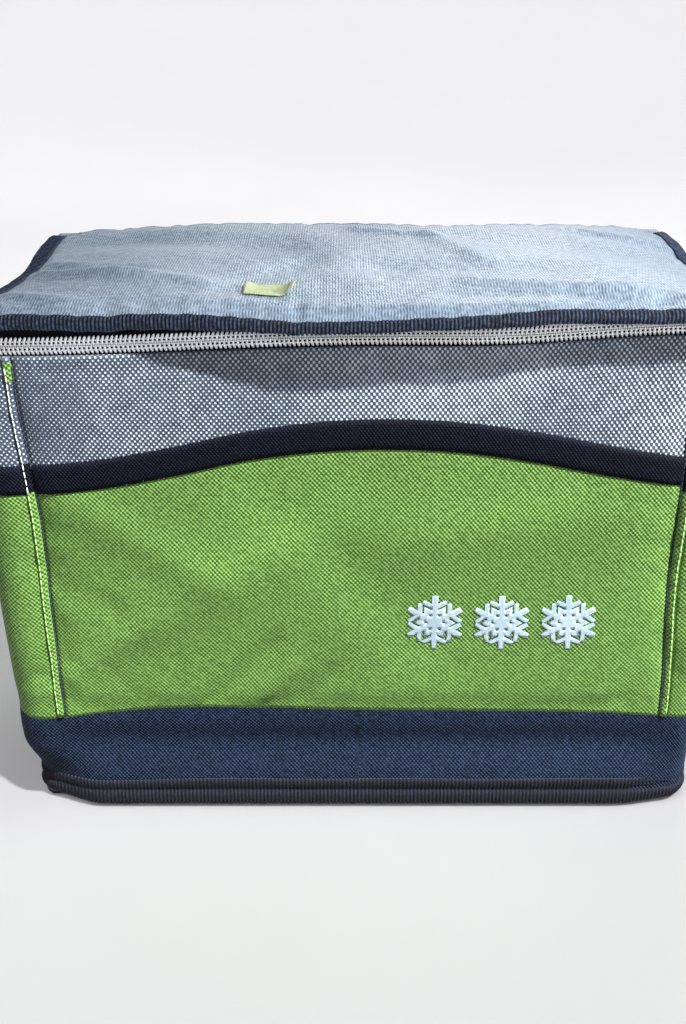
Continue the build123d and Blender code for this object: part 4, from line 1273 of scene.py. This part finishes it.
def paint_cad_nodes():
    """Materials for the rigid pieces that keep their CAD shape."""
    for name, material in (("zip_slider", METAL), ("zip_pull", METAL), ("left_d_ring", PLASTIC),
                           ("right_d_ring", PLASTIC), ("base_stiffener_board", BOARD),
                           ("base_foam", FOAM)):
        mesh = frame["nodes"][name].data
        mesh.materials.clear()
        mesh.materials.append(material)


# --- Stage, light and camera ---------------------------------------------------------------------------
def light_up(data, power, towards):
    """Put a light in the scene. towards points from the lit place to the light."""
    data.energy = power
    made = bpy.data.objects.new(data.name, data)
    made.rotation_euler = towards.to_track_quat("Z", "Y").to_euler()
    scene.collection.objects.link(made)
    return made


def lamp(name, place, target, size, power):
    data = bpy.data.lights.new(name, "AREA")
    data.shape = "DISK"
    data.size = size
    made = light_up(data, power, Vector(place) - Vector(target))
    made.location = place
    return made


def lights_only(light, pieces):
    """Leave everything but these pieces out of a light's reach."""
    receivers = bpy.data.collections.new(light.name)
    for piece in pieces:
        receivers.objects.link(piece)
    light.light_linking.receiver_collection = receivers


HIGH_SUN = Vector((0.36, -0.26, 0.90))


def sun(name, direction, strength, spread=math.radians(2.5)):
    data = bpy.data.lights.new(name, "SUN")
    data.angle = spread
    return light_up(data, strength, direction)


def make_stage():
    """A pale floor that rises like a bowl, and soft lights from above and from the right."""
    flat, turn, slope, rise = 1.4, 0.5, math.radians(26), 12.0
    profile = [(flat * share, 0.0) for share in (0.02, 0.5, 1.0)]
    profile += [(flat + turn * math.sin(a), turn * (1 - math.cos(a))) for a in np.linspace(0, slope, 12)[1:]]
    profile += [(profile[-1][0] + rise * math.cos(slope), profile[-1][1] + rise * math.sin(slope))]
    angles = np.arange(96) * 2 * math.pi / 96
    points = np.array([[(r * math.cos(a), r * math.sin(a), z) for r, z in profile] for a in angles])
    index = np.arange(points.shape[0] * points.shape[1]).reshape(points.shape[:2])
    faces = grid_faces(index, True)[:, ::-1].tolist()
    faces.append(index[:, 0].tolist())
    paper = plain("paper", srgb(240, 239, 241), srgb(242, 241, 243), 0.9, 40, 0.01 * MM)
    floor = new_object("floor", points, faces, [paper])
    floor.data.shade_smooth()
    pieces = [piece for piece in scene.objects if piece.type == "MESH" and piece.name != "floor"]
    walls = [piece for piece in pieces if not piece.name.startswith("lid_")]
    lid = [piece for piece in pieces if piece.name.startswith("lid_")]
    zip_rows = [piece for piece in pieces if "coil" in piece.name or piece.name == "lid_binding"]
    lights_only(sun("sun", HIGH_SUN, 1.7), [floor])
    lights_only(sun("fill_sun", Vector((-0.5, -0.4, 0.8)), 0.95, math.radians(55)), [floor])
    lights_only(sun("grazing_sun", HIGH_SUN, 16.4), walls)
    lights_only(lamp("near", (0.42, FRONT - 0.21, 0.80), (0, FRONT, 0.15), 0.05, 2.8), walls)
    lights_only(lamp("near_lid", (0.42, FRONT - 0.21, 0.80), (0, FRONT, 0.15), 0.05, 4.6), lid)
    lights_only(lamp("side", (0.90, FRONT - 0.24, 0.48), (0, FRONT, 0.12), 0.1, 4.8), walls)
    lights_only(lamp("raking", (0.50, FRONT - 0.25, 0.45), (0, CENTRE_Y, 0.23), 0.06, 4.0), lid)
    lights_only(lamp("glint", (0.35, FRONT - 0.60, 0.50), (0, FRONT, 0.22), 0.15, 2.3), zip_rows)
    lamp("gloss", (0.30, 1.25, 0.85), (0, CENTRE_Y, 0.23), 0.7, 4.0)
    world = bpy.data.worlds.new("studio")
    world.use_nodes = True
    world.node_tree.nodes["Background"].inputs[0].default_value = srgb(246, 246, 250)
    world.node_tree.nodes["Background"].inputs[1].default_value = 0.12
    scene.world = world


def make_camera():
    """Above the front, looking down on it."""
    data = bpy.data.cameras.new("camera")
    data.lens = 36.18
    data.sensor_width = 36
    camera = bpy.data.objects.new("camera", data)
    camera.location = Vector((0, FRONT, 0)) + CAMERA_OFFSET
    camera.rotation_euler = (math.pi / 2 - CAMERA_DIP, 0, 0)
    scene.collection.objects.link(camera)
    scene.camera = camera


scene.view_settings.view_transform = "Standard"
for make in (make_camera, make_base, make_walls, make_overlays, make_foams, make_welts, make_prints, make_zip,
             make_lid_panel, make_hinge, make_lid_binding, make_lid_inside, make_lid_tab, make_liner,
             make_rim_binding, make_gussets, make_ring_tabs, paint_cad_nodes, make_stage):
    make()
